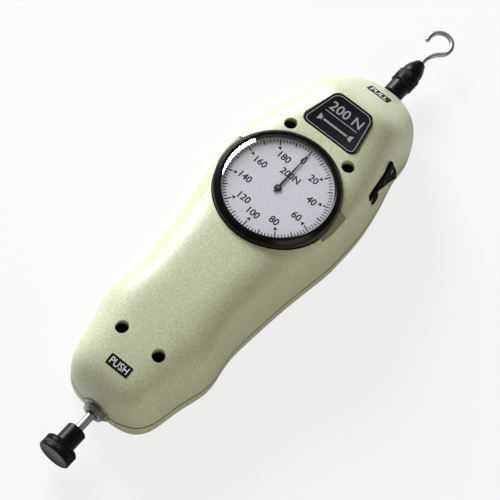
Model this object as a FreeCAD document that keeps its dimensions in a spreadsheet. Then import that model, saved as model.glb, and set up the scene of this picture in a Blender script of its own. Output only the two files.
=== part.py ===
import FreeCAD, Part
import Sketcher
import math
import os
import re
from FreeCAD import Placement, Rotation, Vector

# Force gauge for push and pull, 200 N, with a dial.
# X points right, Y to the hook end along the spindle, Z out of the dial.
# The origin is on the flat rear face, at the centre of the four stand holes. Lengths are in mm.

os.makedirs("parts", exist_ok=True)
doc = FreeCAD.newDocument("force_gauge")

SIZES = {
    # Housing, measured at the parting plane and along the body.
    "rear_depth": 11.5, "front_rise": 34.9, "grip_rise": 31.9, "tail_rise": 27.1,
    "wall": 2.5, "head_half": 33.9, "waist_half": 27.2, "grip_half": 29.4, "tail_half": 24.8,
    "tail_taper": 2.6, "nose_half": 26.9, "tail_tip": -104.1, "tail_start": -83.5,
    "grip_place": -62.0, "waist_place": -45.0, "nose_start": 72.0, "nose_tip": 102.5,
    "slope_start": 70.5, "slope_bend": 4.0, "slope_drop": 1.7, "slope_place": 90.0,
    "slope_rise": 18.2, "nose_rise": 9.0, "nose_round": 91.0, "dial_place": 15.0,
    "dial_level": 46.7, "parting_gap": 0.25,
    # Fasteners of the two covers.
    "upper_screw_across": 32.4, "upper_screw_place": 44.1, "lower_screw_across": 20.4,
    "lower_screw_place": -76.7, "screw_well": 6.0, "screw_shank": 3.0, "screw_head": 5.5,
    "screw_head_tall": 3.0, "screw_length": 11.0, "screw_seat": 16.0, "boss": 9.0,
    "insert_outer": 5.0, "fit_gap": 0.05, "stand_across": 30.0, "stand_along": 60.0,
    "stand_bore": 3.3, "stand_insert": 6.0, "stand_insert_long": 6.0, "stand_boss_tall": 8.5,
    # Spindle and what is fixed on it.
    "shaft": 4.0, "shaft_start": -124.8, "shaft_end": 111.0, "travel": 8.0, "slide_gap": 0.06,
    "pad_face": -132.4, "pad_head": 16.0, "pad_head_long": 6.3, "pad_neck": 9.6,
    "pad_neck_long": 9.6, "adapter_start": 102.4, "adapter_neck": 9.6, "adapter_neck_long": 6.6,
    "adapter_core": 7.6, "adapter_core_long": 7.0, "sleeve": 11.0, "sleeve_long": 7.0,
    "nose_wide": 9.6, "nose_mid": 8.3, "nose_end": 5.0, "nose_long": 8.2, "wire": 2.3,
    "hook_half": 5.8, "hook_centre": 138.5, "hook_shank_start": 118.0,
    "collar_outer": 15.0, "collar_long": 3.0, "collar_place": -71.5,
    # Bushings in the end walls.
    "bush_outer": 6.0, "bush_flange": 9.0, "bush_flange_long": 1.5, "nut_across": 9.0,
    "nut_long": 2.6, "washer_outer": 13.6, "washer_thick": 0.8, "bush_out": 0.3,
    "bush_deep": 5.0, "end_block": 15.0, "end_block_long": 4.5, "end_block_tall": 9.0,
    # Springs.
    "spring_outer": 13.4, "spring_wire": 1.9, "spring_turns": 11.0, "spring_clear": 0.05,
    "seat_place": -18.0, "seat_thick": 3.5, "seat_width": 20.0, "seat_top": 18.5,
    "foot_long": 9.0, "foot_thick": 2.5, "foot_lift": 0.5, "foot_screw": 5.5,
    "hair_inner": 2.6, "hair_pitch": 1.1,
    "hair_turns": 5.0, "hair_thick": 0.22, "hair_wide": 0.6, "hair_level": 29.3,
    # Rack, pinions and gear.
    "rack_pitch": 1.0, "pinion_teeth": 16, "gear_teeth": 48, "centre_teeth": 24,
    "gear_module": 0.4, "backlash": 0.12, "rack_start": -1.0, "rack_long": 20.0,
    "rack_level": 16.0, "rack_tall": 3.0, "rack_back": 3.6, "carrier_start": 1.5,
    "carrier_long": 12.0, "carrier_low": 6.5, "run_out": 1.0, "guide_x": 7.5, "guide_rod": 3.0,
    "shaft_clear": 0.5,
    "arbor": 2.0, "pivot": 1.2, "gear_level": 24.0, "gear_thick": 1.2, "ratchet_level": 31.4,
    "ratchet_half": 6.0, "ratchet_thick": 1.0, "ratchet_teeth": 60,
    # Movement plates and dial case.
    "plate_low": 20.0, "plate_thick": 1.5, "plate_upper": 34.0, "plate_half": 26.0,
    "plate_half_long": 24.0, "pillar_x": 17.0, "pillar_y": 14.0, "pillar": 4.4,
    "hang_x": 22.5, "hang_y": 20.5, "hang_boss": 6.4, "small_screw": 2.0, "small_head": 3.8,
    "small_head_tall": 1.2, "case_outer": 52.4, "case_wall": 1.5, "case_floor": 1.5,
    "spacer": 5.2, "spacer_tall": 1.0, "case_bore": 8.0, "groove_low": 2.2, "groove_high": 1.4,
    "groove_deep": 0.45, "collar_wall": 2.6, "well_wall": 2.0,
    "case_rim": 45.2, "bezel_outer": 57.0, "bezel_low": 41.8, "bezel_edge": 48.0,
    "bezel_top": 49.5, "bezel_open": 50.0, "bezel_gap": 0.35, "ledge": 45.5,
    "dial_outer": 51.4, "dial_thick": 0.6, "glass_outer": 51.6, "glass_low": 49.0,
    "glass_thick": 1.5, "ring_wall": 0.9, "well_gap": 0.4, "well_floor": 41.3,
    "scoop_place": 18.0, "scoop_half": 8.0, "scoop_floor": 41.0,
    "pointer_level": 47.15, "pointer_thick": 0.3,
    "pointer_long": 22.6, "pointer_tail": 2.6, "pointer_hub": 3.2, "dial_bore": 3.4,
    # Nameplate and labels.
    "plate_low_half": 16.2, "plate_high_half": 10.6, "plate_low_y": 49.0,
    "plate_high_y": 70.7, "name_round": 4.0, "name_floor": 45.1, "name_thick": 1.3, "label_long": 11.6,
    "label_wide": 5.0, "label_thick": 0.7, "label_gap": 0.15, "label_lean": 31.0,
    "push_label_y": -90.3, "pull_label_y": 90.2,
    # Peak lever, its shaft and the pawl.
    "lever_y": 55.0, "lever_z": 32.2, "lever_x": 29.7, "lever_yaw": 12.0, "lever_lean": 10.0,
    "lever_thick": 1.3, "lever_bore": 3.0, "crank_low": 5.0, "crank_pin": 1.2,
    "crank_reach": 9.0, "pawl_x": 9.0, "pawl_y": 52.0, "pawl_pin": 1.6, "pawl_thick": 1.0,
    "pawl_boss": 5.6, "pawl_boss_low": 34.6, "pawl_pin_top": 38.6, "stop_pin": 1.2,
    "crank_arm": 3.2, "crank_thick": 1.2, "crank_pin_long": 2.7,
}

sheet = doc.addObject("Spreadsheet::Sheet", "Sizes")
for line, (word, value) in enumerate(SIZES.items(), start=1):
    sheet.set(f"A{line}", word)
    sheet.set(f"B{line}", str(value))
    sheet.setAlias(f"B{line}", word)
doc.recompute()


def size(word):
    """The value of one cell of the sheet."""
    return float(sheet.get(word))


def bound(text):
    """The expression with each word pointing at its cell of the sheet."""
    return re.sub(r"\b([a-z][a-z_]+)\b", r"Sizes.\1", text)


def number(text):
    """What an expression on the cells comes to."""
    return float(sheet.evalExpression(bound(text)))


def plane_of(body, role):
    for feature in body.Origin.OriginFeatures:
        if feature.Role == role:
            return feature
    raise ValueError(role)


def new_sketch(body, role):
    drawing = body.newObject("Sketcher::SketchObject", body.Name + "_sketch")
    drawing.AttachmentSupport = [(plane_of(body, role), "")]
    drawing.MapMode = "FlatFace"
    return drawing


def tie(drawing, kind, geometry, point, text):
    """Holds a point or a radius to an expression on the cells."""
    if kind == "Radius":
        rule = Sketcher.Constraint("Radius", geometry, number(text))
    else:
        rule = Sketcher.Constraint(kind, -1, 1, geometry, point, number(text))
    at = drawing.addConstraint(rule)
    drawing.setExpression(f"Constraints[{at}]", bound(text))


def outline(drawing, corners):
    """A closed chain of straight edges through corners given as two expressions each."""
    places = [Vector(number(a), number(b), 0) for a, b in corners]
    count = len(corners)
    first = drawing.GeometryCount
    for k in range(count):
        drawing.addGeometry(Part.LineSegment(places[k], places[(k + 1) % count]), False)
    for k in range(count):
        rule = Sketcher.Constraint("Coincident", first + k, 2, first + (k + 1) % count, 1)
        drawing.addConstraint(rule)
        tie(drawing, "DistanceX", first + k, 1, corners[k][0])
        tie(drawing, "DistanceY", first + k, 1, corners[k][1])


def circles(drawing, holes):
    """Round holes, each given by three expressions: across, along and radius."""
    for across, along, radius in holes:
        at = drawing.GeometryCount
        centre = Vector(number(across), number(along), 0)
        drawing.addGeometry(Part.Circle(centre, Vector(0, 0, 1), number(radius)), False)
        tie(drawing, "DistanceX", at, 3, across)
        tie(drawing, "DistanceY", at, 3, along)
        tie(drawing, "Radius", at, 0, radius)


def put(thing, x, y, z, turn=None):
    """Sets the place of a sub-part by three expressions and one fixed turn."""
    thing.Placement = Placement(Vector(), turn or Rotation())
    for axis, text in zip("xyz", (x, y, z)):
        thing.setExpression(f"Placement.Base.{axis}", bound(text))


ALONG_Y = Rotation(Vector(1, 0, 0), -90)


def turned(label, corners, x="0", y="0", z="0", turn=None):
    """A turned piece: radius and height pairs, spun about its own Z axis."""
    body = doc.addObject("PartDesign::Body", label)
    body.Label = label
    drawing = new_sketch(body, "XZ_Plane")
    outline(drawing, corners)
    spin = body.newObject("PartDesign::Revolution", label + "_spin")
    spin.Profile = drawing
    spin.ReferenceAxis = (drawing, ["V_Axis"])
    spin.Angle = 360
    put(body, x, y, z, turn)
    return body


def plate(label, corners, thick, holes=(), x="0", y="0", z="0", turn=None, edge=None):
    """A flat piece: an outline in XY, padded up, with round holes through it."""
    body = doc.addObject("PartDesign::Body", label)
    body.Label = label
    drawing = new_sketch(body, "XY_Plane")
    outline(drawing, corners)
    circles(drawing, holes)
    pad = body.newObject("PartDesign::Pad", label + "_pad")
    pad.Profile = drawing
    pad.setExpression("Length", bound(thick))
    if edge:
        doc.recompute()
        upright = [f"Edge{k}" for k, line in enumerate(pad.Shape.Edges, start=1)
                   if len(line.Vertexes) == 2 and abs(line.tangentAt(0).z) > 0.99
                   and isinstance(line.Curve, Part.Line)]
        round_off = body.newObject("PartDesign::Fillet", label + "_edges")
        round_off.Base = (pad, upright)
        round_off.setExpression("Radius", bound(edge))
    put(body, x, y, z, turn)
    return body


def drilled(body, holes):
    """Round holes right through a body along its own Z axis."""
    drawing = new_sketch(body, "XY_Plane")
    circles(drawing, holes)
    pocket = body.newObject("PartDesign::Pocket", body.Name + "_holes")
    pocket.Profile = drawing
    pocket.Type = "ThroughAll"
    pocket.Midplane = True


def shaped(label, shape, place=None):
    """A piece whose shape is worked out in code from the cells."""
    thing = doc.addObject("Part::Feature", label)
    thing.Label = label
    thing.Shape = shape
    if place:
        thing.Placement = place
    return thing


def rod(radius, start, end):
    """A cylinder between two points."""
    way = end - start
    return Part.makeCylinder(radius, way.Length, start, way)


def upright_rod(radius, x, y, low, high):
    return rod(radius, Vector(x, y, low), Vector(x, y, high))


def brick(x0, x1, y0, y1, z0, z1):
    return Part.makeBox(x1 - x0, y1 - y0, z1 - z0, Vector(x0, y0, z0))


def joined(shapes):
    whole = shapes[0]
    for piece in shapes[1:]:
        whole = whole.fuse(piece)
    return whole.removeSplitter()


def less(shape, cuts):
    for piece in cuts:
        shape = shape.cut(piece)
    return shape


def group(shapes):
    """Separate solids that share one node."""
    return Part.makeCompound(shapes)


# The housing's outline. Each table gives a value at stations along Y, with a smooth curve
# through them that never overshoots.

def through(stations, y):
    if y <= stations[0][0]:
        return stations[0][1]
    if y >= stations[-1][0]:
        return stations[-1][1]
    steps = [(b[1] - a[1]) / (b[0] - a[0]) for a, b in zip(stations, stations[1:])]
    leans = [0.0]
    for before, after in zip(steps, steps[1:]):
        same_way = before * after > 0
        leans.append(2 * before * after / (before + after) if same_way else 0.0)
    leans.append(0.0)
    for k, (a, b) in enumerate(zip(stations, stations[1:])):
        if y <= b[0]:
            span = b[0] - a[0]
            t = (y - a[0]) / span
            rest = a[1] * (1 + 2 * t) * (1 - t) ** 2 + b[1] * t * t * (3 - 2 * t)
            return rest + span * (leans[k] * t * (1 - t) ** 2 + leans[k + 1] * t * t * (t - 1))
    return stations[-1][1]


def between(low, high, share):
    return low + (high - low) * share


TAIL, GRIP, WAIST = size("tail_start"), size("grip_place"), size("waist_place")
DIAL, NOSE = size("dial_place"), size("nose_start")
WIDTHS = [
    (size("tail_tip"), size("tail_half") - size("tail_taper")),
    (TAIL, size("tail_half")),
    (between(TAIL, GRIP, 0.35), between(size("tail_half"), size("grip_half"), 0.35)),
    (between(TAIL, GRIP, 0.67), between(size("tail_half"), size("grip_half"), 0.81)),
    (GRIP, size("grip_half")),
    (between(GRIP, WAIST, 0.42), between(size("grip_half"), size("waist_half"), 0.45)),
    (WAIST, size("waist_half")),
    (between(WAIST, DIAL, 0.4), between(size("waist_half"), size("head_half"), 0.24)),
    (between(WAIST, DIAL, 0.67), between(size("waist_half"), size("head_half"), 0.52)),
    (between(WAIST, DIAL, 0.87), between(size("waist_half"), size("head_half"), 0.8)),
    (DIAL + 5, size("head_half")),
    (between(DIAL, NOSE, 0.35), size("head_half") - 0.1),
    (between(DIAL, NOSE, 0.56), between(size("nose_half"), size("head_half"), 0.78)),
    (between(DIAL, NOSE, 0.79), between(size("nose_half"), size("head_half"), 0.4)),
    (NOSE, size("nose_half")),
]
RISES = [
    (size("tail_tip"), size("tail_rise") - 5),
    (size("tail_start") + 7, size("tail_rise")),
    (WAIST, size("grip_rise")),
    (DIAL - 25, size("front_rise") - 0.4),
    (DIAL, size("front_rise")),
    (size("slope_start"), size("front_rise")),
    (size("slope_start") + size("slope_bend"), size("front_rise") - size("slope_drop")),
    (size("slope_place"), size("slope_rise")),
    (size("nose_tip"), size("nose_rise")),
]
SQUARENESS = [(size("tail_tip"), 3.3), (WAIST, 3.5), (DIAL - 30, 3.6), (DIAL - 15, 4.7),
              (DIAL, 5.4), (DIAL + 15, 5.0), (DIAL + 32, 3.8), (NOSE, 2.9),
              (size("nose_tip"), 2.5)]
REAR_SQUARENESS = 6.0
REAR_EXTRA = 0.5
SLOPE_SHIFT = 0.4


def end_share(y, start, tip, power, root):
    """How far a rounded end has closed in, from 1 at its start to 0 at its tip."""
    reach = (y - start) / (tip - start)
    if reach <= 0:
        return 1.0
    return max(1 - min(reach, 1.0) ** power, 0.0) ** root


def half_width(y, inset):
    width = through(WIDTHS, y) - inset
    width *= end_share(y, NOSE, size("nose_tip") - inset, 2.1, 0.5)
    return width * end_share(y, TAIL, size("tail_tip") + inset, 4.0, 0.435)


def front_height(y, inset):
    """The rise over the parting plane; the shift keeps the wall as thick under the slope."""
    height = through(RISES, y + inset * SLOPE_SHIFT) - inset
    height *= end_share(y, size("nose_round"), size("nose_tip") - inset, 2.2, 0.5)
    return height * end_share(y, TAIL, size("tail_tip") + inset, 4.0, 0.4)


def rear_height(y, inset):
    height = size("rear_depth") + REAR_EXTRA - inset * (1 + REAR_EXTRA / size("wall"))
    height *= end_share(y, NOSE + 8, size("nose_tip") - inset, 3.0, 0.45)
    return height * end_share(y, TAIL - 4, size("tail_tip") + inset, 4.0, 0.4)


def arch(y, width, height, square, up):
    """The points of one cross-section: a soft-cornered arch on the parting plane."""
    points = []
    for k in range(ARCH_STEPS + 1):
        angle = math.pi * k / ARCH_STEPS
        side, top = math.cos(angle), max(math.sin(angle), 0.0)
        reach = (abs(side) ** square + top ** square) ** (-1 / square)
        points.append(Vector(width * reach * side, y, size("rear_depth") + up * height * reach * top))
    points[0].z = points[-1].z = size("rear_depth")
    return points


def closed(skin):
    """The solid under an arched skin: its borders are closed by flat faces."""
    rows, sides = [], []
    for border in skin.Edges:
        ends = [v.Point for v in border.Vertexes]
        (rows if abs(ends[0].y - ends[1].y) < 1 else sides).append(border)
    across = [Part.makeLine(e.Vertexes[0].Point, e.Vertexes[-1].Point) for e in rows]
    faces = [skin, flat_face([sides[0], across[0], sides[1], across[1]])]
    faces += [flat_face([border, line]) for border, line in zip(rows, across)]
    solid = Part.makeSolid(Part.makeShell(faces))
    if solid.Volume < 0:
        solid.reverse()
    return solid


def flatten_borders(skin, start, end):
    """Rounds the skin's border poles onto the end planes and the parting plane."""
    rows, columns = skin.NbUPoles, skin.NbVPoles
    for row in range(1, rows + 1):
        for column in range(1, columns + 1):
            pole = skin.getPole(row, column)
            if row in (1, rows):
                pole.y = start if row == 1 else end
            if column in (1, columns):
                pole.z = size("rear_depth")
            skin.setPole(row, column, pole)


def flat_face(edges):
    """A flat face inside edges that meet in a ring."""
    return Part.Face(Part.Wire(Part.__sortEdges__(edges)))


ARCH_STEPS = 28
HULL_STEPS = 36
END_FLAT = 0.98


def hull(inset, front):
    """The solid inside the housing's outline, set in by an inset, front or rear half."""
    start = between(TAIL, size("tail_tip") + inset, END_FLAT)
    end = between(NOSE, size("nose_tip") - inset, END_FLAT)
    net = []
    for k in range(HULL_STEPS + 1):
        y = between(start, end, (1 - math.cos(math.pi * k / HULL_STEPS)) / 2)
        if front:
            net.append(arch(y, half_width(y, inset), front_height(y, inset),
                            through(SQUARENESS, y), 1))
        else:
            net.append(arch(y, half_width(y, inset), rear_height(y, inset), REAR_SQUARENESS, -1))
    skin = Part.BSplineSurface()
    skin.interpolate(net)
    flatten_borders(skin, start, end)
    return closed(skin.toShape())


def tail_end():
    """Where the flat of the push end lies."""
    return between(TAIL, size("tail_tip"), END_FLAT)


def nose_end():
    """Where the flat of the hook end lies."""
    return between(NOSE, size("nose_tip"), END_FLAT)


AXIS_LEVEL = size("rear_depth")
OVER = size("dial_level") + 8
FAR = 200.0
SCREW_PLACES = [(s * size("upper_screw_across") / 2, size("upper_screw_place"))
                for s in (-1, 1)]
SCREW_PLACES += [(s * size("lower_screw_across") / 2, size("lower_screw_place"))
                 for s in (-1, 1)]
STAND_PLACES = [(sx * size("stand_across") / 2, sy * size("stand_along") / 2)
                for sx in (-1, 1) for sy in (-1, 1)]
HANG_PLACES = [(sx * size("hang_x"), DIAL + sy * size("hang_y"))
               for sx in (-1, 1) for sy in (-1, 1)]
PILLAR_PLACES = [(sx * size("pillar_x"), DIAL + sy * size("pillar_y"))
                 for sx in (-1, 1) for sy in (-1, 1)]


def front_level(y):
    """The height of the front face above the rear face on the centre line."""
    return size("rear_depth") + front_height(y, 0)


def front_lean(y):
    """The lean of the front face on the centre line, in degrees, positive towards +Y."""
    step = 1.0
    return math.degrees(math.atan2(front_level(y - step) - front_level(y + step), 2 * step))


def on_front(y, depth):
    """A label's frame on the front face: Z outwards, Y up the face, no steeper than its seat."""
    lean = min(front_lean(y), size("label_lean"))
    steeper = math.radians(front_lean(y) - lean)
    turn = Rotation(Vector(1, 0, 0), -lean)
    sunk = depth + size("label_wide") / 2 * math.tan(steeper)
    return Placement(Vector(0, y, front_level(y)) - turn.multVec(Vector(0, 0, sunk)), turn)


def label_block(extra):
    """A label's plate with rounded corners, or the pocket that holds it."""
    long, wide = size("label_long") / 2 + extra, size("label_wide") / 2 + extra
    block = brick(-long, long, -wide, wide, 0, size("label_thick"))
    edges = [e for e in block.Edges if abs(e.tangentAt(0).z) > 0.99]
    return block.makeFillet(0.6 + extra, edges)


LABEL_SINK = size("label_thick") - 0.05


def label_pocket(y):
    pocket = label_block(size("label_gap"))
    pocket = pocket.fuse(pocket.translated(Vector(0, 0, size("label_thick") * 0.9)))
    pocket.Placement = on_front(y, LABEL_SINK)
    return pocket


def label_backing(y):
    """The thicker wall behind a label's pocket."""
    long, wide = size("label_long") / 2 + 2, size("label_wide") / 2 + 1.6
    backing = brick(-long, long, -wide, wide, -size("wall") - 1.1, 1)
    backing.Placement = on_front(y, 0)
    return backing


def name_corners(extra):
    """The four corners of the nameplate, grown by an extra all round."""
    low, high = size("plate_low_half") + extra, size("plate_high_half") + extra
    start, end = size("plate_low_y") - extra, size("plate_high_y") + extra
    return [Vector(-low, start, 0), Vector(low, start, 0), Vector(high, end, 0), Vector(-high, end, 0)]


def name_block(extra, tall):
    """The nameplate's trapezoid with rounded corners, from its floor up."""
    face = Part.Face(Part.makePolygon([*name_corners(extra), name_corners(extra)[0]]))
    block = face.extrude(Vector(0, 0, tall))
    edges = [e for e in block.Edges if abs(e.tangentAt(0).z) > 0.99]
    block = block.makeFillet(size("name_round") + extra, edges)
    return block.translated(Vector(0, 0, size("name_floor")))


# The lever lies on the right-hand wall, in a frame of its own: X out of the wall.

LEVER_TURN = Rotation(Vector(0, 0, 1), size("lever_yaw"))
LEVER_TURN = LEVER_TURN * Rotation(Vector(0, 1, 0), -size("lever_lean"))
LEVER_FRAME = Placement(Vector(size("lever_x"), size("lever_y"), size("lever_z")), LEVER_TURN)
LEVER_OUTLINE = [(-11.2, -2.6), (-11.6, -1.4), (-9.9, 0.1), (-9.6, 2.3), (-12.6, 2.8),
                 (-12.4, 4.0), (-8.6, 3.9), (-0.7, 3.3), (4.1, 2.4), (9.6, 2.9), (10.1, -0.8),
                 (11.7, -6.2), (12.2, -10.2), (11.5, -13.7), (4.4, -7.0), (-3.8, -0.8),
                 (-6.0, 0.4), (-5.6, -1.6), (-6.2, -4.1), (-8.7, -3.9)]


def lever_blade(grow, low, high):
    """The lever's flat outline, grown all round, from a low to a high place along its axis."""
    corners = [Vector(0, y, z) for y, z in (*LEVER_OUTLINE, LEVER_OUTLINE[0])]
    face = Part.Face(Part.makePolygon(corners))
    if grow:
        face = face.makeOffset2D(grow)
    return face.extrude(Vector(high - low, 0, 0)).translated(Vector(low, 0, 0))


LEVER_SWING = 8.0
LEVER_RELIEF = 0.4
LEVER_UNDER = 0.3
PAWL_SLOT_GAP = 0.12
PAWL_LIFT = 3.4


def lever_backing_block():
    """The block of wall behind the lever's pocket, in the lever's own frame."""
    return brick(-size("lever_thick") - size("wall") - 0.5, 12, -15, 17, -16, 8)


def lever_backing():
    block = lever_backing_block()
    block.Placement = LEVER_FRAME
    return block


def lever_recess():
    """The pocket in the wall: the blade's outline swept over its swing, with relief."""
    floor = -size("lever_thick") - LEVER_UNDER
    swept = lever_blade(LEVER_RELIEF, floor, 12.0)
    for share in (0.33, 0.67, 1.0):
        turned_blade = lever_blade(LEVER_RELIEF, floor, 12.0)
        turned_blade.rotate(Vector(), Vector(1, 0, 0), -LEVER_SWING * share)
        swept = swept.fuse(turned_blade)
    swept.Placement = LEVER_FRAME
    return swept


def lever_stop():
    """The pin in the lever's fork that ends its swing."""
    seat, along, up = -size("lever_thick") - size("wall") - 0.1, -11.3, 1.6
    pin = rod(size("stop_pin") / 2, Vector(seat, along, up), Vector(-0.2, along, up))
    pin.Placement = LEVER_FRAME
    return pin


def front_bosses():
    """What stands inside the front cover: screw bosses, the well's collar and thick places."""
    hang_low = size("plate_low") + size("plate_thick")
    solids = [upright_rod(size("boss") / 2, x, y, AXIS_LEVEL, OVER) for x, y in SCREW_PLACES]
    solids += [upright_rod(size("hang_boss") / 2, x, y, hang_low, OVER) for x, y in HANG_PLACES]
    solids.append(upright_rod(size("pawl_boss") / 2, size("pawl_x"), size("pawl_y"),
                              size("pawl_boss_low"), OVER))
    collar = upright_rod(size("bezel_outer") / 2 + size("collar_wall"), 0, DIAL,
                         size("well_floor") - size("well_wall"), OVER)
    solids.append(collar.cut(upright_rod(size("case_outer") / 2 + size("well_gap"), 0, DIAL, 0, OVER)))
    solids.append(lever_backing())
    solids += [label_backing(size("push_label_y")), label_backing(size("pull_label_y"))]
    solids.append(name_block(1.5, 4).translated(Vector(0, 0, -3.0)))
    top = AXIS_LEVEL + size("end_block_tall")
    return solids + end_blocks(AXIS_LEVEL, top)


def end_blocks(low, high):
    """The thick end walls that hold the two bushings."""
    half, long = size("end_block") / 2, size("end_block_long")
    return [brick(-half, half, tail_end(), tail_end() + long, low, high),
            brick(1 - half, half - 1, nose_end() - long - 1, nose_end(), low, high)]


def front_cover():
    """The upper shell of the housing, down to just above the parting plane."""
    outer = hull(0.0, True)
    shell = outer.cut(hull(size("wall"), True))
    for piece in front_bosses():
        shell = shell.fuse(piece.common(outer))
    cuts = [brick(-FAR, FAR, -FAR, FAR, -FAR, AXIS_LEVEL + size("parting_gap"))]
    for x, y in SCREW_PLACES:
        cuts.append(upright_rod(size("screw_well") / 2, x, y, size("screw_seat"), OVER))
        cuts.append(upright_rod(size("screw_shank") / 2 + 0.2, x, y, 0, OVER))
    screw_top = size("plate_low") + size("plate_thick") + 6
    cuts += [upright_rod(size("small_screw") / 2, x, y, 0, screw_top) for x, y in HANG_PLACES]
    cuts.append(upright_rod(size("pawl_pin") / 2, size("pawl_x"), size("pawl_y"), 0,
                            size("pawl_pin_top") + 0.4))
    cuts.append(upright_rod(size("case_outer") / 2 + size("well_gap"), 0, DIAL, AXIS_LEVEL + 5, OVER))
    cuts.append(upright_rod(size("bezel_outer") / 2 + size("well_gap"), 0, DIAL,
                            size("well_floor"), OVER))
    scoop = brick(-FAR, FAR, size("scoop_place") - size("scoop_half"),
                  size("scoop_place") + size("scoop_half"), size("scoop_floor"), OVER)
    cuts.append(scoop.cut(upright_rod(size("case_outer") / 2, 0, DIAL, 0, OVER)))
    cuts.append(name_block(0.12, 6))
    cuts += [label_pocket(size("push_label_y")), label_pocket(size("pull_label_y"))]
    cuts.append(lever_recess())
    bore = rod(size("lever_bore") / 2 + size("slide_gap"), Vector(-FAR, 0, 0), Vector(5, 0, 0))
    bore = bore.common(lever_backing_block())
    bore.Placement = LEVER_FRAME
    return less(shell, [*cuts, bore, lever_stop(), *end_cuts()])


def end_cuts():
    """The round seats of the two bushings in the end walls."""
    seat = size("bush_outer") / 2 + size("fit_gap")
    flange = size("bush_flange") / 2 + size("fit_gap")
    step = size("bush_deep") - size("bush_flange_long")
    cuts = []
    for outside, inward in ((tail_end(), 1), (nose_end(), -1)):
        inside = Vector(0, outside + inward * (size("bush_deep") + 7), AXIS_LEVEL)
        cuts.append(rod(seat, Vector(0, outside - inward * 3, AXIS_LEVEL), inside))
        cuts.append(rod(flange, Vector(0, outside + inward * step, AXIS_LEVEL), inside))
    return cuts


def rear_cover():
    """The lower shell of the housing, flat at the back, with the brackets' pads."""
    outer = hull(0.0, False)
    shell = outer.cut(hull(size("wall"), False))
    solids = [upright_rod(size("boss") / 2, x, y, 0, AXIS_LEVEL) for x, y in SCREW_PLACES]
    solids += [upright_rod(size("boss") / 2, x, y, 0, size("stand_boss_tall"))
               for x, y in STAND_PLACES]
    for y in (size("seat_place"), guide_bracket_place()):
        half = size("seat_width") / 2
        long = size("seat_thick") + size("foot_long")
        solids.append(brick(-half, half, y, y + long, 0, bracket_floor()))
    for piece in solids + end_blocks(0, AXIS_LEVEL):
        shell = shell.fuse(piece.common(outer))
    cuts = [brick(-FAR, FAR, -FAR, FAR, -FAR, 0)]
    for x, y in SCREW_PLACES:
        low = size("screw_seat") - size("screw_length") - 0.6
        cuts.append(upright_rod(size("insert_outer") / 2, x, y, low, AXIS_LEVEL + 1))
    for x, y in STAND_PLACES:
        cuts.append(upright_rod(size("stand_insert") / 2, x, y, -1, size("stand_insert_long")))
    for x, y in foot_screw_places():
        cuts.append(upright_rod(size("small_screw") / 2, x, y, 1.0, bracket_floor() + 1))
    return less(shell, cuts + end_cuts())


def foot_screw_places():
    """The screws of the two brackets that stand on the rear cover."""
    places = []
    for y in (bracket_foot_centre(size("seat_place")), bracket_foot_centre(guide_bracket_place())):
        places += [(-size("foot_screw"), y), (size("foot_screw"), y)]
    return places


def bracket_foot_centre(y):
    return y + size("seat_thick") + size("foot_long") / 2


def guide_bracket_place():
    """Where the second bracket stands: past the rack's end when it is all the way out."""
    return size("rack_start") + size("rack_long") + size("travel") + size("run_out")


def bracket_floor():
    return size("wall") + size("foot_lift")


def bracket(y):
    """An angle bracket: an upright with the bores and a foot on the rear cover."""
    half = size("seat_width") / 2
    floor = bracket_floor()
    upright = brick(-half, half, y, y + size("seat_thick"), floor, size("seat_top"))
    foot = brick(-half, half, y, y + size("seat_thick") + size("foot_long"), floor,
                 floor + size("foot_thick"))
    past = y + size("seat_thick") + 1
    cuts = [rod(size("shaft") / 2 + size("shaft_clear"), Vector(0, y - 1, AXIS_LEVEL),
                Vector(0, past, AXIS_LEVEL)),
            rod(size("guide_rod") / 2, Vector(size("guide_x"), y - 1, AXIS_LEVEL),
                Vector(size("guide_x"), past, AXIS_LEVEL))]
    for x, place in foot_screw_places():
        cuts.append(upright_rod(size("small_screw") / 2 + 0.1, x, place, 0, floor + size("foot_thick")))
    return less(upright.fuse(foot), cuts)


def screw(x, y, seat, length, shank, head, head_tall, down=True):
    """A cap screw with a hexagon socket, its head up or down."""
    way = -1 if down else 1
    body = rod(shank / 2, Vector(x, y, seat), Vector(x, y, seat + way * length))
    cap = rod(head / 2, Vector(x, y, seat), Vector(x, y, seat - way * head_tall))
    socket = prism(6, head * 0.5, Vector(x, y, seat - way * head_tall * 0.45),
                   Vector(0, 0, -way * head_tall))
    return body.fuse(cap).cut(socket)


def prism(sides, across, base, way):
    """A regular prism; across is the distance between two flats."""
    radius = across / 2 / math.cos(math.pi / sides)
    turn = Rotation(Vector(0, 0, 1), way)
    points = []
    for k in range(sides + 1):
        angle = 2 * math.pi * k / sides
        flat = Vector(radius * math.cos(angle), radius * math.sin(angle), 0)
        points.append(base + turn.multVec(flat))
    return Part.Face(Part.makePolygon(points)).extrude(way)


ADDENDUM = 0.85
DEDENDUM = 1.15
FLANK = math.tan(math.radians(20))


def gear(teeth, module, thick, bore, half_step=False):
    """A spur wheel with straight-flanked teeth, thinned by the backlash."""
    pitch = module * teeth / 2
    tip, root = pitch + ADDENDUM * module, pitch - DEDENDUM * module
    half = (math.pi * module / 2 - size("backlash")) / 2
    step = 2 * math.pi / teeth
    points = []
    for k in range(teeth):
        centre = k * step + (step / 2 if half_step else 0)
        for radius, side in ((root, -1), (pitch, -1), (tip, -1), (tip, 1), (pitch, 1), (root, 1)):
            thickness = half - (radius - pitch) * FLANK * (1.25 if radius > pitch else 0.9)
            angle = centre + side * thickness / radius
            points.append(Vector(radius * math.cos(angle), radius * math.sin(angle), 0))
    face = Part.Face(Part.makePolygon([*points, points[0]]))
    hole = upright_rod(bore, 0, 0, -1, thick + 1)
    return face.extrude(Vector(0, 0, thick)).cut(hole)


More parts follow.
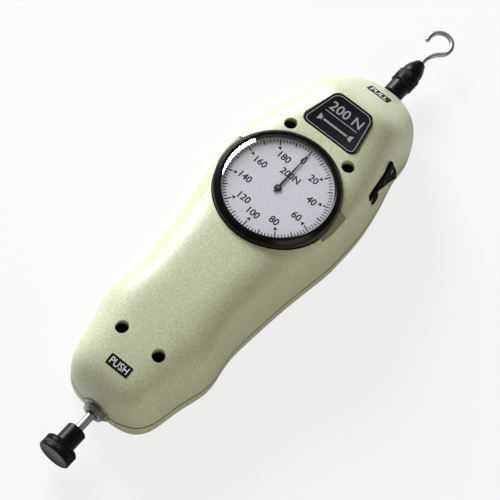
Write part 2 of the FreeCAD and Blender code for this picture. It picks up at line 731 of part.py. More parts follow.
RACK_MODULE = size("rack_pitch") / math.pi
RACK_RADIUS = RACK_MODULE * size("pinion_teeth") / 2
GEAR_CENTRES = size("gear_module") * (size("gear_teeth") + size("centre_teeth")) / 2
RACK_LINE = -GEAR_CENTRES + RACK_RADIUS


def rack():
    """The rack bar: teeth on the left, one of them centred on the pinion at rest."""
    start, end = size("rack_start"), size("rack_start") + size("rack_long")
    add, ded = ADDENDUM * RACK_MODULE, DEDENDUM * RACK_MODULE
    half = (size("rack_pitch") / 2 - size("backlash")) / 2
    back = RACK_LINE + size("rack_back")
    points = [Vector(back, start, 0), Vector(RACK_LINE + ded, start, 0)]
    first = math.ceil((start + 0.7 - DIAL) / size("rack_pitch"))
    last = math.floor((end - 0.7 - DIAL) / size("rack_pitch"))
    for k in range(first, last + 1):
        centre = DIAL + k * size("rack_pitch")
        for level, side in ((-ded, -1), (add, -1), (add, 1), (-ded, 1)):
            y = centre + side * (half - level * FLANK)
            points.append(Vector(RACK_LINE - level, y, 0))
    points += [Vector(RACK_LINE + ded, end, 0), Vector(back, end, 0)]
    bar = Part.Face(Part.makePolygon([*points, points[0]])).extrude(Vector(0, 0, size("rack_tall")))
    return bar.translated(Vector(0, 0, size("rack_level")))


def rack_carrier():
    """The block that carries the rack on the spindle and runs on the guide rod."""
    start, end = size("carrier_start"), size("carrier_start") + size("carrier_long")
    block = brick(RACK_LINE + 0.9, size("guide_x") + 3.5, start, end, size("carrier_low"),
                  size("rack_level"))
    cuts = [rod(size("shaft") / 2, Vector(0, start - 1, AXIS_LEVEL),
                Vector(0, end + 1, AXIS_LEVEL)),
            rod(size("guide_rod") / 2 + size("slide_gap"),
                Vector(size("guide_x"), start - 1, AXIS_LEVEL),
                Vector(size("guide_x"), end + 1, AXIS_LEVEL))]
    cuts.append(upright_rod(1.0, 0, (start + end) / 2, AXIS_LEVEL + 1.0, 30))
    return less(block, cuts)


def carrier_screw():
    middle = size("carrier_start") + size("carrier_long") / 2
    low = AXIS_LEVEL + size("shaft") / 2
    plug = upright_rod(0.98, 0, middle, low, size("rack_level") - 0.2)
    return plug.cut(prism(6, 0.9, Vector(0, middle, size("rack_level") - 1.2), Vector(0, 0, 2)))


def coil(outer, wire, turns, low, high):
    """A compression spring along Y, as one round wire."""
    radius = (outer - wire) / 2
    rise = high - low - wire
    line = Part.makeHelix(rise / turns, rise, radius)
    start = Part.Wire([Part.Circle(Vector(radius, 0, 0), Vector(0, 1, 0), wire / 2).toShape()])
    spring = Part.Wire(line).makePipeShell([start], True, True)
    spring.Placement = Placement(Vector(0, low + wire / 2, AXIS_LEVEL), ALONG_Y)
    return spring


def hairspring():
    """A flat spiral strip round the pointer arbor."""
    inner, pitch, turns = size("hair_inner"), size("hair_pitch"), size("hair_turns")
    half = size("hair_thick") / 2
    steps = int(turns * 16)

    def line(offset):
        points = []
        for k in range(steps + 1):
            angle = 2 * math.pi * turns * k / steps
            radius = inner + pitch * angle / (2 * math.pi) + offset
            points.append(Vector(radius * math.cos(angle), radius * math.sin(angle), 0))
        curve = Part.BSplineCurve()
        curve.interpolate(points)
        return curve

    inside, outside = line(-half), line(half)
    edges = [inside.toShape(), Part.LineSegment(inside.EndPoint, outside.EndPoint).toShape(),
             outside.toShape(), Part.LineSegment(outside.StartPoint, inside.StartPoint).toShape()]
    strip = Part.Face(Part.Wire(Part.sortEdges(edges)[0])).extrude(Vector(0, 0, size("hair_wide")))
    return strip.translated(Vector(0, DIAL, size("hair_level")))


def hook():
    """The bent wire hook: a straight shank, a lead out to the right and a round bow."""
    bow, centre = size("hook_half"), size("hook_centre")
    leave = math.radians(50)
    lead = bow * math.cos(leave) / (1 - math.cos(leave))
    join = Vector(bow * math.cos(leave), centre - bow * math.sin(leave), AXIS_LEVEL)
    bend = Vector(0, join.y - lead * math.sin(leave), AXIS_LEVEL)
    start = Vector(0, size("hook_shank_start") - 4, AXIS_LEVEL)
    half = leave / 2
    lead_mid = Vector(lead * (1 - math.cos(half)), bend.y + lead * math.sin(half), AXIS_LEVEL)

    def on_bow(degrees):
        a = math.radians(degrees)
        return Vector(bow * math.cos(a), centre + bow * math.sin(a), AXIS_LEVEL)

    path = Part.Wire([Part.LineSegment(start, bend).toShape(),
                      Part.Arc(bend, lead_mid, join).toShape(),
                      Part.Arc(join, on_bow(75), on_bow(200)).toShape()])
    ring = Part.Wire([Part.Circle(start, Vector(0, 1, 0), size("wire") / 2).toShape()])
    wire = path.makePipeShell([ring], True, True)
    return wire.fuse(Part.makeSphere(size("wire") / 2, on_bow(200)))


def build_case():
    shaped("front_cover", front_cover())
    shaped("rear_cover", rear_cover())
    shaped("cover_screws", group([
        screw(x, y, size("screw_seat"), size("screw_length"), size("screw_shank"),
              size("screw_head"), size("screw_head_tall")) for x, y in SCREW_PLACES]))
    insert_low = size("screw_seat") - size("screw_length") - 0.5
    shaped("cover_inserts", group([
        upright_rod(size("insert_outer") / 2 - 0.02, x, y, insert_low, AXIS_LEVEL - 0.3)
        .cut(upright_rod(size("screw_shank") / 2 + 0.02, x, y, 0, 20)) for x, y in SCREW_PLACES]))
    shaped("stand_inserts", group([
        upright_rod(size("stand_insert") / 2 - 0.02, x, y, 0, size("stand_insert_long"))
        .cut(upright_rod(size("stand_bore") / 2, x, y, -1, 20)) for x, y in STAND_PLACES]))
    name = name_block(0.0, size("name_thick"))
    name = name.cut(name_block(-0.8, 3).translated(Vector(0, 0, size("name_thick") - 0.25)))
    shaped("nameplate", name)
    for word, y in (("push_label", size("push_label_y")), ("pull_label", size("pull_label_y"))):
        shaped(word, label_block(0.0), on_front(y, LABEL_SINK))


def build_bushings():
    step = "bush_deep-bush_flange_long"
    out = "0-washer_thick-nut_long-bush_out"
    tail_shift = repr(round(tail_end(), 6))
    nose_shift = repr(round(nose_end(), 6))
    inner = "shaft/2+slide_gap"
    turned("push_bushing", [
        (inner, out), ("bush_outer/2", out), ("bush_outer/2", step), ("bush_flange/2", step),
        ("bush_flange/2", "bush_deep"), (inner, "bush_deep")],
        y=tail_shift, z="rear_depth", turn=ALONG_Y)
    turned("pull_bushing", [
        (inner, "0"), ("bush_outer/2", "0"), ("bush_outer/2", step), ("bush_flange/2", step),
        ("bush_flange/2", "bush_deep"), (inner, "bush_deep")],
        y=nose_shift, z="rear_depth", turn=Rotation(Vector(1, 0, 0), 90))
    turned("push_washer", [
        ("bush_outer/2+fit_gap", "0-washer_thick"), ("washer_outer/2", "0-washer_thick"),
        ("washer_outer/2", "0"), ("bush_outer/2+fit_gap", "0")],
        y=tail_shift + "-0.02", z="rear_depth", turn=ALONG_Y)
    nut_start = Vector(0, tail_end() - size("washer_thick") - size("nut_long") - 0.04, AXIS_LEVEL)
    nut = prism(6, size("nut_across"), nut_start, Vector(0, size("nut_long"), 0))
    bevel = Part.makeCone(size("nut_across") / 2 + 0.1, size("nut_across") / 2 + 4.4, 4.5,
                          nut_start, Vector(0, 1, 0))
    hole = rod(size("bush_outer") / 2 + 0.02, nut_start - Vector(0, 1, 0), nut_start + Vector(0, 9, 0))
    shaped("push_nut", nut.common(bevel).cut(hole))


def build_spindle():
    turned("spindle", [("0", "shaft_start"), ("shaft/2-0.3", "shaft_start"),
                       ("shaft/2", "shaft_start+0.3"), ("shaft/2", "shaft_end-0.3"),
                       ("shaft/2-0.3", "shaft_end"), ("0", "shaft_end")],
           z="rear_depth", turn=ALONG_Y)
    thread = "shaft/2"
    turned("push_pad", [
        ("0", "pad_face"), ("pad_head/2-0.5", "pad_face"), ("pad_head/2", "pad_face+0.5"),
        ("pad_head/2", "pad_face+pad_head_long-0.6"), ("pad_head/2-0.6", "pad_face+pad_head_long"),
        ("pad_neck/2", "pad_face+pad_head_long"),
        ("pad_neck/2", "pad_face+pad_head_long+pad_neck_long-0.4"),
        ("pad_neck/2-0.4", "pad_face+pad_head_long+pad_neck_long"),
        (thread, "pad_face+pad_head_long+pad_neck_long"), (thread, "shaft_start-0.2"),
        ("0", "shaft_start-0.2")], z="rear_depth", turn=ALONG_Y)
    core_end = "adapter_start+adapter_neck_long+adapter_core_long"
    turned("hook_adapter", [
        (thread, "adapter_start"), ("adapter_neck/2-0.4", "adapter_start"),
        ("adapter_neck/2", "adapter_start+0.4"), ("adapter_neck/2", "adapter_start+adapter_neck_long"),
        ("adapter_core/2", "adapter_start+adapter_neck_long"), ("adapter_core/2", core_end),
        (thread, core_end)], z="rear_depth", turn=ALONG_Y)
    sleeve_start = "adapter_start+adapter_neck_long"
    turned("knurled_sleeve", [
        ("adapter_core/2+fit_gap", sleeve_start), ("sleeve/2-0.5", sleeve_start),
        ("sleeve/2", sleeve_start + "+0.5"), ("sleeve/2", sleeve_start + "+sleeve_long-0.4"),
        ("sleeve/2-0.4", sleeve_start + "+sleeve_long"),
        ("adapter_core/2+fit_gap", sleeve_start + "+sleeve_long")],
        z="rear_depth", turn=ALONG_Y)
    turned("adapter_nose", [
        ("wire/2+0.02", core_end), ("nose_wide/2", core_end), ("nose_wide/2", core_end + "+nose_long*0.3"),
        ("nose_mid/2", core_end + "+nose_long*0.58"), ("nose_end/2", core_end + "+nose_long"),
        ("wire/2+0.02", core_end + "+nose_long")], z="rear_depth", turn=ALONG_Y)
    shaped("hook", hook())
    turned("spring_collar", [
        (thread, "collar_place"), ("collar_outer/2", "collar_place"),
        ("collar_outer/2", "collar_place+collar_long"), (thread, "collar_place+collar_long")],
        z="rear_depth", turn=ALONG_Y)
    shaped("rack_carrier", rack_carrier())
    shaped("carrier_screw", carrier_screw())
    shaped("rack", rack())


def build_frame():
    shaped("spring_seat", bracket(size("seat_place")))
    shaped("guide_bracket", bracket(guide_bracket_place()))
    rod_start, rod_end = "seat_place+0.3", "rack_start+rack_long+travel+run_out+seat_thick"
    turned("guide_rod", [("0", rod_start), ("guide_rod/2", rod_start), ("guide_rod/2", rod_end),
                         ("0", rod_end)], x="guide_x", z="rear_depth", turn=ALONG_Y)
    foot_top = bracket_floor() + size("foot_thick")
    shaped("bracket_screws", group([
        screw(x, y, foot_top, size("foot_thick") + 1.3, size("small_screw") - 0.04,
              size("small_head"), size("small_head_tall")) for x, y in foot_screw_places()]))
    spring_start = size("collar_place") + size("collar_long") + size("spring_clear")
    shaped("main_spring", coil(size("spring_outer"), size("spring_wire"), size("spring_turns"),
                               spring_start, size("seat_place") - size("spring_clear")))


def build_movement():
    corner = [("0-plate_half", "0-plate_half_long"), ("plate_half", "0-plate_half_long"),
              ("plate_half", "plate_half_long"), ("0-plate_half", "plate_half_long")]
    centres = "(gear_module*(gear_teeth+centre_teeth)/2)"
    arbor_hole = ("0-" + centres, "0", "pivot/2+slide_gap")
    pointer_hole = ("0", "0", "pivot/2+slide_gap")
    pillar_hole = [(f"{sx}pillar_x", f"{sy}pillar_y", "small_screw/2+0.1")
                   for sx in ("", "0-") for sy in ("", "0-")]
    hang_hole = [(f"{sx}hang_x", f"{sy}hang_y", "small_screw/2+0.1")
                 for sx in ("", "0-") for sy in ("", "0-")]
    rack_hole = ("0-" + centres, "0", "arbor/2+slide_gap")
    plate("lower_plate", corner, "plate_thick", [rack_hole, pointer_hole, *pillar_hole, *hang_hole],
          y="dial_place", z="plate_low", edge="4")
    narrow = [("0-plate_half+4", "0-pillar_y-4"), ("plate_half-4", "0-pillar_y-4"),
              ("plate_half-4", "pillar_y+4"), ("0-plate_half+4", "pillar_y+4")]
    upper_hole = ("0", "0", "arbor/2+slide_gap")
    case_hole = [("0", "0-pillar_y", "small_screw/2"), ("0", "pillar_y", "small_screw/2")]
    plate("upper_plate", narrow, "plate_thick", [arbor_hole, upper_hole, *pillar_hole, *case_hole],
          y="dial_place", z="plate_upper", edge="3")
    low = size("plate_low") + size("plate_thick")
    high = size("plate_upper")
    shaped("plate_pillars", group([
        upright_rod(size("pillar") / 2, x, y, low, high).cut(
            upright_rod(size("small_screw") / 2, x, y, low - 1, high + 1))
        for x, y in PILLAR_PLACES]))
    under = size("plate_low")
    over = size("plate_upper") + size("plate_thick")
    thread = size("small_screw") - 0.04
    pillar_screws = [screw(x, y, under, 5.0, thread, size("small_head"), size("small_head_tall"),
                           False) for x, y in PILLAR_PLACES]
    top_head = 0.9
    pillar_screws += [screw(x, y, over, 5.0, thread, size("small_head"), top_head)
                      for x, y in PILLAR_PLACES]
    shaped("pillar_screws", group(pillar_screws))
    shaped("plate_screws", group([
        screw(x, y, under, 6.5, thread, size("small_head"), size("small_head_tall"), False)
        for x, y in HANG_PLACES]))


def build_dial_case():
    floor = "plate_upper+plate_thick+spacer_tall"
    inside = "case_outer/2-case_wall"
    groove = "case_outer/2-groove_deep"
    low, high = "case_rim-groove_low", "case_rim-groove_high"
    case = turned("dial_case", [
        ("case_bore/2", floor), ("case_outer/2", floor), ("case_outer/2", low), (groove, low),
        (groove, high), ("case_outer/2", high), ("case_outer/2", "case_rim"), (inside, "case_rim"),
        (inside, floor + "+case_floor"), ("case_bore/2", floor + "+case_floor")], y="dial_place")
    drilled(case, [("0", sign + "pillar_y", "small_screw/2+0.1") for sign in ("", "0-")])
    base = size("plate_upper") + size("plate_thick")
    spacers = []
    screws = []
    for s in (-1, 1):
        y = DIAL + s * size("pillar_y")
        spacer = upright_rod(size("spacer") / 2, 0, y, base, base + size("spacer_tall"))
        spacers.append(spacer.cut(upright_rod(size("small_screw") / 2 + 0.1, 0, y, 0, OVER)))
        seat = base + size("spacer_tall") + size("case_floor")
        screws.append(screw(0, y, seat, 4.0, size("small_screw") - 0.04, size("small_head"),
                            size("small_head_tall")))
    shaped("case_spacers", group(spacers))
    shaped("case_screws", group(screws))
    middle = size("case_rim") - (size("groove_low") + size("groove_high")) / 2
    wire = 0.28
    shaped("bezel_spring", Part.makeTorus(size("case_outer") / 2 + 0.05, wire, Vector(0, DIAL, middle)))


def build_bezel():
    inner = "case_outer/2+bezel_gap"
    edge = "bezel_outer/2"
    turned("bezel_ring", [
        (inner, "bezel_low"), (edge + "-0.5", "bezel_low"), (edge, "bezel_low+0.5"),
        (edge, "bezel_edge-0.4"), (edge + "-0.4", "bezel_edge"), ("bezel_open/2+0.5", "bezel_top"),
        ("bezel_open/2", "bezel_top-0.3"), ("bezel_open/2", "glass_low"),
        ("glass_outer/2+fit_gap", "glass_low"), ("glass_outer/2+fit_gap", "ledge+0.6"),
        ("case_outer/2-case_wall-0.6", "ledge+0.6"), ("case_outer/2-case_wall-0.6", "ledge"),
        (inner, "ledge"), (inner, "case_rim-groove_high"), (inner + "+0.35", "case_rim-groove_high"),
        (inner + "+0.35", "case_rim-groove_low"), (inner, "case_rim-groove_low")], y="dial_place")
    low = "dial_level-dial_thick"
    turned("dial_plate", [("dial_bore/2", low), ("dial_outer/2", low), ("dial_outer/2", "dial_level"),
                          ("dial_bore/2", "dial_level")], y="dial_place")
    turned("spacer_ring", [("dial_outer/2-ring_wall", "dial_level"), ("dial_outer/2", "dial_level"),
                           ("dial_outer/2", "glass_low-0.02"),
                           ("dial_outer/2-ring_wall", "glass_low-0.02")], y="dial_place")
    turned("crystal", [("0", "glass_low"), ("bezel_open/2-0.05", "glass_low"),
                       ("bezel_open/2-0.05", "glass_low+glass_thick-0.9"),
                       ("bezel_open/2-1.2", "glass_low+glass_thick"), ("0", "glass_low+glass_thick")],
           y="dial_place")


def build_arbors():
    centres = repr(round(-GEAR_CENTRES, 6))
    top = "plate_upper+plate_thick-0.2"
    shoulder = "plate_upper-0.3"
    foot = "rack_level-0.4"
    turned("rack_arbor", [("0", foot), ("arbor/2", foot), ("arbor/2", shoulder),
                          ("pivot/2", shoulder), ("pivot/2", top), ("0", top)],
           x=centres, y="dial_place")
    place = Placement(Vector(-GEAR_CENTRES, DIAL, size("rack_level") - 0.2), Rotation())
    shaped("rack_pinion", gear(int(size("pinion_teeth")), RACK_MODULE, size("rack_tall") + 0.4,
                               size("arbor") / 2, True), place)
    place = Placement(Vector(-GEAR_CENTRES, DIAL, size("gear_level")), Rotation())
    wheel = gear(int(size("gear_teeth")), size("gear_module"), size("gear_thick"), size("arbor") / 2)
    spokes = 4
    window_at = size("gear_module") * size("gear_teeth") / 2 * 0.54
    for k in range(spokes):
        window = upright_rod(2.2, window_at, 0, -1, 5)
        window.rotate(Vector(), Vector(0, 0, 1), 45 + 360 / spokes * k)
        wheel = wheel.cut(window)
    shaped("intermediate_gear", wheel, place)


def build_pointer():
    tip = "pointer_level+pointer_thick+0.35"
    low = "plate_low+0.2"
    shoulder = "plate_low+plate_thick+0.3"
    step = "dial_level-2"
    turned("pointer_arbor", [("0", low), ("pivot/2", low), ("pivot/2", shoulder),
                             ("arbor/2", shoulder), ("arbor/2", step), ("pivot/2", step),
                             ("pivot/2", tip), ("0", tip)], y="dial_place")
    place = Placement(Vector(0, DIAL, size("gear_level") - 0.6), Rotation())
    shaped("centre_pinion", gear(int(size("centre_teeth")), size("gear_module"),
                                 size("gear_thick") + 1.2, size("arbor") / 2, True), place)
    place = Placement(Vector(0, DIAL, size("ratchet_level")), Rotation())
    shaped("ratchet_wheel", ratchet(), place)
    collet, under, above = "hair_inner-hair_thick/2-0.02", "hair_level-0.3", "hair_level+hair_wide+0.3"
    turned("hair_collet", [("arbor/2", under), (collet, under), (collet, above),
                           ("arbor/2", above)], y="dial_place")
    shaped("pointer", pointer())
    shaped("hairspring", hairspring())
    end = size("hair_inner") + size("hair_pitch") * size("hair_turns")
    stud = upright_rod(0.6, end + 0.72, DIAL, size("hair_level") - 0.2, size("plate_upper"))
    shaped("hairspring_stud", stud)


def ratchet():
    """The fine-toothed wheel that holds the peak reading."""
    teeth = int(size("ratchet_teeth"))
    half = size("ratchet_half")
    points = []
    for k in range(teeth):
        steep, shallow = 2 * math.pi * k / teeth, 2 * math.pi * (k + 0.9) / teeth
        points.append(Vector(half * math.cos(steep), half * math.sin(steep), 0))
        points.append(Vector((half - 0.5) * math.cos(shallow), (half - 0.5) * math.sin(shallow), 0))
    face = Part.Face(Part.makePolygon([*points, points[0]]))
    wheel = face.extrude(Vector(0, 0, size("ratchet_thick")))
    return wheel.cut(upright_rod(size("arbor") / 2, 0, 0, -1, 5))


def pointer():
    """A slender needle with a round boss and a short tail."""
    level, thick = size("pointer_level"), size("pointer_thick")
    long, tail = size("pointer_long"), size("pointer_tail")
    wide, fine = 0.55, 0.14
    points = [Vector(-wide, 0, 0), Vector(-wide * 0.8, -tail, 0), Vector(wide * 0.8, -tail, 0),
              Vector(wide, 0, 0), Vector(fine, long, 0), Vector(-fine, long, 0)]
    needle = Part.Face(Part.makePolygon([*points, points[0]])).extrude(Vector(0, 0, thick))
    boss = rod(size("pointer_hub") / 2, Vector(0, 0, -0.15), Vector(0, 0, thick + 0.2))
    shape = needle.fuse(boss).cut(upright_rod(size("pivot") / 2, 0, 0, -1, 3))
    return shape.translated(Vector(0, DIAL, level))


def build_lever():
    stub_half = size("lever_bore") / 2 - 0.42
    under = Vector(-size("lever_thick"), 0, 0)
    blade = lever_blade(0, under.x, 0)
    blade = blade.cut(rod(stub_half + 0.02, under * 2, -under))
    shaped("peak_lever", blade, LEVER_FRAME)
    reach = -size("crank_reach")
    shaft = rod(size("lever_bore") / 2, Vector(reach, 0, 0), under)
    stub = rod(stub_half, under, Vector(0.3, 0, 0))
    half, low = size("crank_arm") / 2, -size("crank_low")
    crank = brick(reach - size("crank_thick"), reach, -half, half, low - 1.2, half)
    ball_place = Vector(reach - size("crank_pin_long"), 0, low)
    pin = rod(size("crank_pin") / 2 - 0.2, ball_place, Vector(reach, 0, low))
    ball = Part.makeSphere(size("crank_pin") / 2, ball_place)
    shaped("lever_shaft", joined([shaft, stub, crank, pin, ball]), LEVER_FRAME)
    shaped("lever_stop", lever_stop())
    shaped("pawl_pin", upright_rod(size("pawl_pin") / 2 - 0.02, size("pawl_x"), size("pawl_y"),
                                   size("ratchet_level") - 1.6, size("pawl_pin_top")))
    shaped("pawl", pawl())


def pawl():
    """The peak pawl: a hub on its pin, a fork on the crank pin and a finger to the ratchet."""
    low, thick = size("ratchet_level"), size("pawl_thick")
    hub = Vector(size("pawl_x"), size("pawl_y"), low)
    crank = LEVER_FRAME.multVec(Vector(-size("crank_reach") - size("crank_pin_long"), 0,
                                       -size("crank_low")))
    tail_low, tail_high = crank.z - 1.5, crank.z + 1.5
    arm = crank.x + 0.7
    slot = size("crank_pin") / 2 + PAWL_SLOT_GAP
    tail = brick(hub.x, arm, crank.y - slot - 1.2, crank.y + slot + 1.2, tail_low, tail_high)
    tail = tail.cut(brick(crank.x - 2 * slot + 0.2, arm + 1, crank.y - slot, crank.y + slot,
                          tail_low - 1, tail_high + 1))
    post = rod(2.4, Vector(hub.x, hub.y, tail_low), Vector(hub.x, hub.y, low + thick))
    tip = Vector(size("ratchet_half") + PAWL_LIFT, DIAL + 1.5, low)
    side = Vector(0.9, 0, 0)
    corners = [hub - side, tip, tip + side * 1.4, hub + side * 1.6, hub - side]
    face = Part.Face(Part.makePolygon(corners))
    whole = joined([tail, post, face.extrude(Vector(0, 0, thick))])
    bore = upright_rod(size("pawl_pin") / 2 + size("slide_gap"), hub.x, hub.y, 0, 60)
    return whole.cut(bore)


build_case()
build_bushings()
build_spindle()
build_frame()
build_movement()
build_dial_case()
build_bezel()
build_arbors()
build_pointer()
build_lever()
doc.recompute()

NODE_TYPES = ("PartDesign::Body", "Part::Feature")
for thing in doc.Objects:
    if "Invalid" in thing.State or "Error" in thing.State:
        raise RuntimeError(f"{thing.Label}: {thing.State}")
for thing in doc.Objects:
    if thing.TypeId in NODE_TYPES:
        if thing.Shape.isNull() or not thing.Shape.isValid():
            raise RuntimeError(f"{thing.Label} has no valid shape")
        thing.Shape.exportStep(f"parts/{thing.Label}.step")
        low, high = thing.Shape.BoundBox.ZMin, thing.Shape.BoundBox.ZMax
        print(thing.Label, len(thing.Shape.Solids), round(thing.Shape.Volume, 1),
              round(low, 2), round(high, 2))
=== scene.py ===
import math

import bmesh
import bpy
from mathutils import Matrix, Vector
from mathutils.bvhtree import BVHTree


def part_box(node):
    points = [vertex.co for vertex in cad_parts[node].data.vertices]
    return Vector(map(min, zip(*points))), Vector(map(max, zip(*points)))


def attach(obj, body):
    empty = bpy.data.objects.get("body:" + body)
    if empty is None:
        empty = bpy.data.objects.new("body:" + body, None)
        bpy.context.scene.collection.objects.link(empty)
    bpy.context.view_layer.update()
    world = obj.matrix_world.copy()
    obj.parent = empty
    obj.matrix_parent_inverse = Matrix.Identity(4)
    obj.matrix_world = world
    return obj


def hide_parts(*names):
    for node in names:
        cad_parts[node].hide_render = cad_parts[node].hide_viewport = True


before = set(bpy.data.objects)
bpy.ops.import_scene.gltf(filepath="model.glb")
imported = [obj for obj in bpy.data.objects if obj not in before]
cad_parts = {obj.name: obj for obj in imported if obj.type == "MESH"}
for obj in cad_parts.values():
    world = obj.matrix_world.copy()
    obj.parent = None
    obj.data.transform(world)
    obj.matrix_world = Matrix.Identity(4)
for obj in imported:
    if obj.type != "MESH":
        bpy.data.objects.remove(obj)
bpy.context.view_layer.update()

# The front and rear cover: two cast shells in pale green enamel with a fine, slightly
# pebbled skin, and painted shade deep in the screw wells and along the parting line.
# Each keeps its solid's shape: a copy of the mesh is merged, so that the round faces
# shade smoothly and only real edges stay sharp.

MM = 0.001
SHARP = math.radians(30)
SOLID_MERGE = 0.002


class Flow:
    """One socket in a material's nodes. Operators on it add Math nodes beside it."""

    def __init__(self, tree, socket=None):
        self.tree = tree
        self.socket = socket

    def node(self, kind, settings=None, sockets=None, out=0):
        """Adds a node, makes its settings, then fills its sockets with values or links."""
        made = self.tree.nodes.new("ShaderNode" + kind)
        for word, value in (settings or {}).items():
            setattr(made, word, value)
        for key, value in (sockets or {}).items():
            if isinstance(value, Flow):
                self.tree.links.new(value.socket, made.inputs[key])
            else:
                made.inputs[key].default_value = value
        return Flow(self.tree, made.outputs[out])

    def math(self, operation, *values):
        """A Math node on numbers or flows."""
        return self.node("Math", {"operation": operation}, dict(enumerate(values)))

    def __add__(self, other):
        return self.math("ADD", self, other)

    def __sub__(self, other):
        return self.math("SUBTRACT", self, other)

    def __rsub__(self, other):
        return self.math("SUBTRACT", other, self)

    def __mul__(self, other):
        return self.math("MULTIPLY", self, other)

    __radd__ = __add__
    __rmul__ = __mul__


def new_finish(name):
    """A material with one principled shader, and a flow in its nodes."""
    finish = bpy.data.materials.new(name)
    finish.use_nodes = True
    return finish, Flow(finish.node_tree)


def shade(flow, sockets):
    """Fills the principled shader's sockets with numbers, colours or flows."""
    shader = flow.tree.nodes["Principled BSDF"]
    for key, value in sockets.items():
        if isinstance(value, Flow):
            flow.tree.links.new(value.socket, shader.inputs[key])
        else:
            shader.inputs[key].default_value = value


def noise(flow, scale, detail=2.0, stretch=(1, 1, 1)):
    """Noise from 0 to 1 on the object's own coordinates, scale in grains per metre."""
    place = flow.node("TexCoord", out="Object")
    place = flow.node("Mapping", sockets={"Vector": place, "Scale": stretch})
    return flow.node("TexNoise", sockets={"Vector": place, "Scale": scale, "Detail": detail})


def mixed(flow, factor, first, second):
    """A colour between two, by a factor from 0 to 1."""
    return flow.node("Mix", {"data_type": "RGBA"}, {0: factor, 6: first, 7: second}, out=2)


def bump(flow, height, strength, distance):
    """Lets light fall on a surface as on a relief, whose height is given in metres."""
    return flow.node("Bump", sockets={"Height": height, "Strength": strength, "Distance": distance})


def fade(flow, value, start, end):
    """Goes smoothly from 0 to 1 while a value goes from start to end, both in mm."""
    return flow.node("MapRange", {"interpolation_type": "SMOOTHSTEP"},
                     {"Value": value, "From Min": start * MM, "From Max": end * MM})


WELLS = [(16.2, 44.1), (10.2, -76.7)]
WELL_RADIUS = 3.0
WELL_SLACK = 0.05
WELL_SIDE_FADE = (0.12, 0.04)
WELL_DEPTH_FADE = (1.5, 5.0)
SEAM_FADE = (0.8, 0.4)


def painted_shade_places(flow):
    """Painted shade: 1 deep in the screw wells and along the parting line, where no light comes out."""
    front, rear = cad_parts["front_cover"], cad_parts["rear_cover"]
    place = flow.node("TexCoord", out="Object")
    x, y, z = [flow.node("SeparateXYZ", sockets={0: place}, out=axis) for axis in range(3)]
    seam = (rear.bound_box[6][2] + front.bound_box[0][2]) / 2
    dark = fade(flow, flow.math("ABSOLUTE", z - seam), *SEAM_FADE)
    flat = flow.node("CombineXYZ", sockets={0: flow.math("ABSOLUTE", x), 1: y})
    for well in WELLS:
        across = [corner * MM for corner in well] + [0]
        reach = flow.node("VectorMath", {"operation": "DISTANCE"}, {0: flat, 1: across}, out="Value")
        near = (WELL_RADIUS + WELL_SLACK) * MM
        rim = max(v.co.z for v in front.data.vertices
                  if math.hypot(v.co.x - across[0], v.co.y - across[1]) < near) / MM
        inside = fade(flow, reach, *[WELL_RADIUS + beside for beside in WELL_SIDE_FADE])
        deep = fade(flow, z, *[rim - down for down in WELL_DEPTH_FADE])
        dark = flow.math("MAXIMUM", dark, inside * deep)
    return dark


ENAMEL_DEEP = (0.575, 0.61, 0.378, 1)
ENAMEL_PALE = (0.615, 0.645, 0.418, 1)
ENAMEL_SPECK = (0.745, 0.77, 0.55, 1)
ENAMEL_PAINTED_SHADE = (0.008, 0.010, 0.006, 1)


def enamel():
    """Two close greens in soft clouds, pale specks on the pebbles, and painted shade deep in the screw
    wells and along the parting line.
    """
    finish, flow = new_finish("pale_green_enamel")
    cloud = noise(flow, 26.0)
    grain = noise(flow, 1300.0, 3.0)
    fine = noise(flow, 3600.0, 1.0)
    tone = mixed(flow, cloud, ENAMEL_DEEP, ENAMEL_PALE)
    tone = mixed(flow, fade(flow, grain * MM, 0.35, 0.65), tone, ENAMEL_SPECK)
    # Painted shade: the enamel turns near black deep in the screw wells and along the parting line.
    tone = mixed(flow, painted_shade_places(flow), tone, ENAMEL_PAINTED_SHADE)
    shade(flow, {
        "Base Color": tone, "Roughness": 0.30 + grain * 0.18, "Coat Weight": 0.35,
        "Coat Roughness": 0.34, "Normal": bump(flow, grain + fine * 0.4, 0.45, 0.0001)})
    return finish


def in_scene(name, data):
    """A new object in the scene that holds a mesh, a curve, a lamp or a camera."""
    thing = bpy.data.objects.new(name, data)
    bpy.context.scene.collection.objects.link(thing)
    return thing


def piece_from(name, mesh, body, slot, finish, *nodes):
    """Puts a finished mesh, in metres, into the scene and hangs it on its body."""
    mesh.materials.clear()
    mesh.materials.append(finish)
    thing = in_scene(name, mesh)
    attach(thing, body)
    if nodes:
        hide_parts(*nodes)
    return thing


def smooth_copy(node, name, body, slot, finish, sharp=SHARP):
    """A merged copy of a solid's mesh with smooth round faces, in the solid's place."""
    bm = bmesh.new()
    bm.from_mesh(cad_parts[node].data)
    bmesh.ops.remove_doubles(bm, verts=bm.verts, dist=SOLID_MERGE * MM)
    mesh = bpy.data.meshes.new(name)
    bm.to_mesh(mesh)
    bm.free()
    mesh.attributes.remove(mesh.attributes["custom_normal"])
    mesh.shade_smooth()
    mesh.set_sharp_from_angle(angle=sharp)
    return piece_from(name, mesh, body, slot, finish, node)


enamel_finish = enamel()
smooth_copy("front_cover", "front_shell", "case", "housing_paint", enamel_finish)
smooth_copy("rear_cover", "rear_shell", "case", "housing_paint", enamel_finish)

# Steel and brass of the works: screws, springs, shafts, wheels and plates. Turned and
# milled metal with fine marks; the pieces keep their solids and only get their finish.
# The four stand nuts, which show in the back, are smoothed as the covers are.


def dimmed(colour, share):
    """A colour with a share of its light."""
    return tuple(share * part for part in colour[:3]) + (1,)


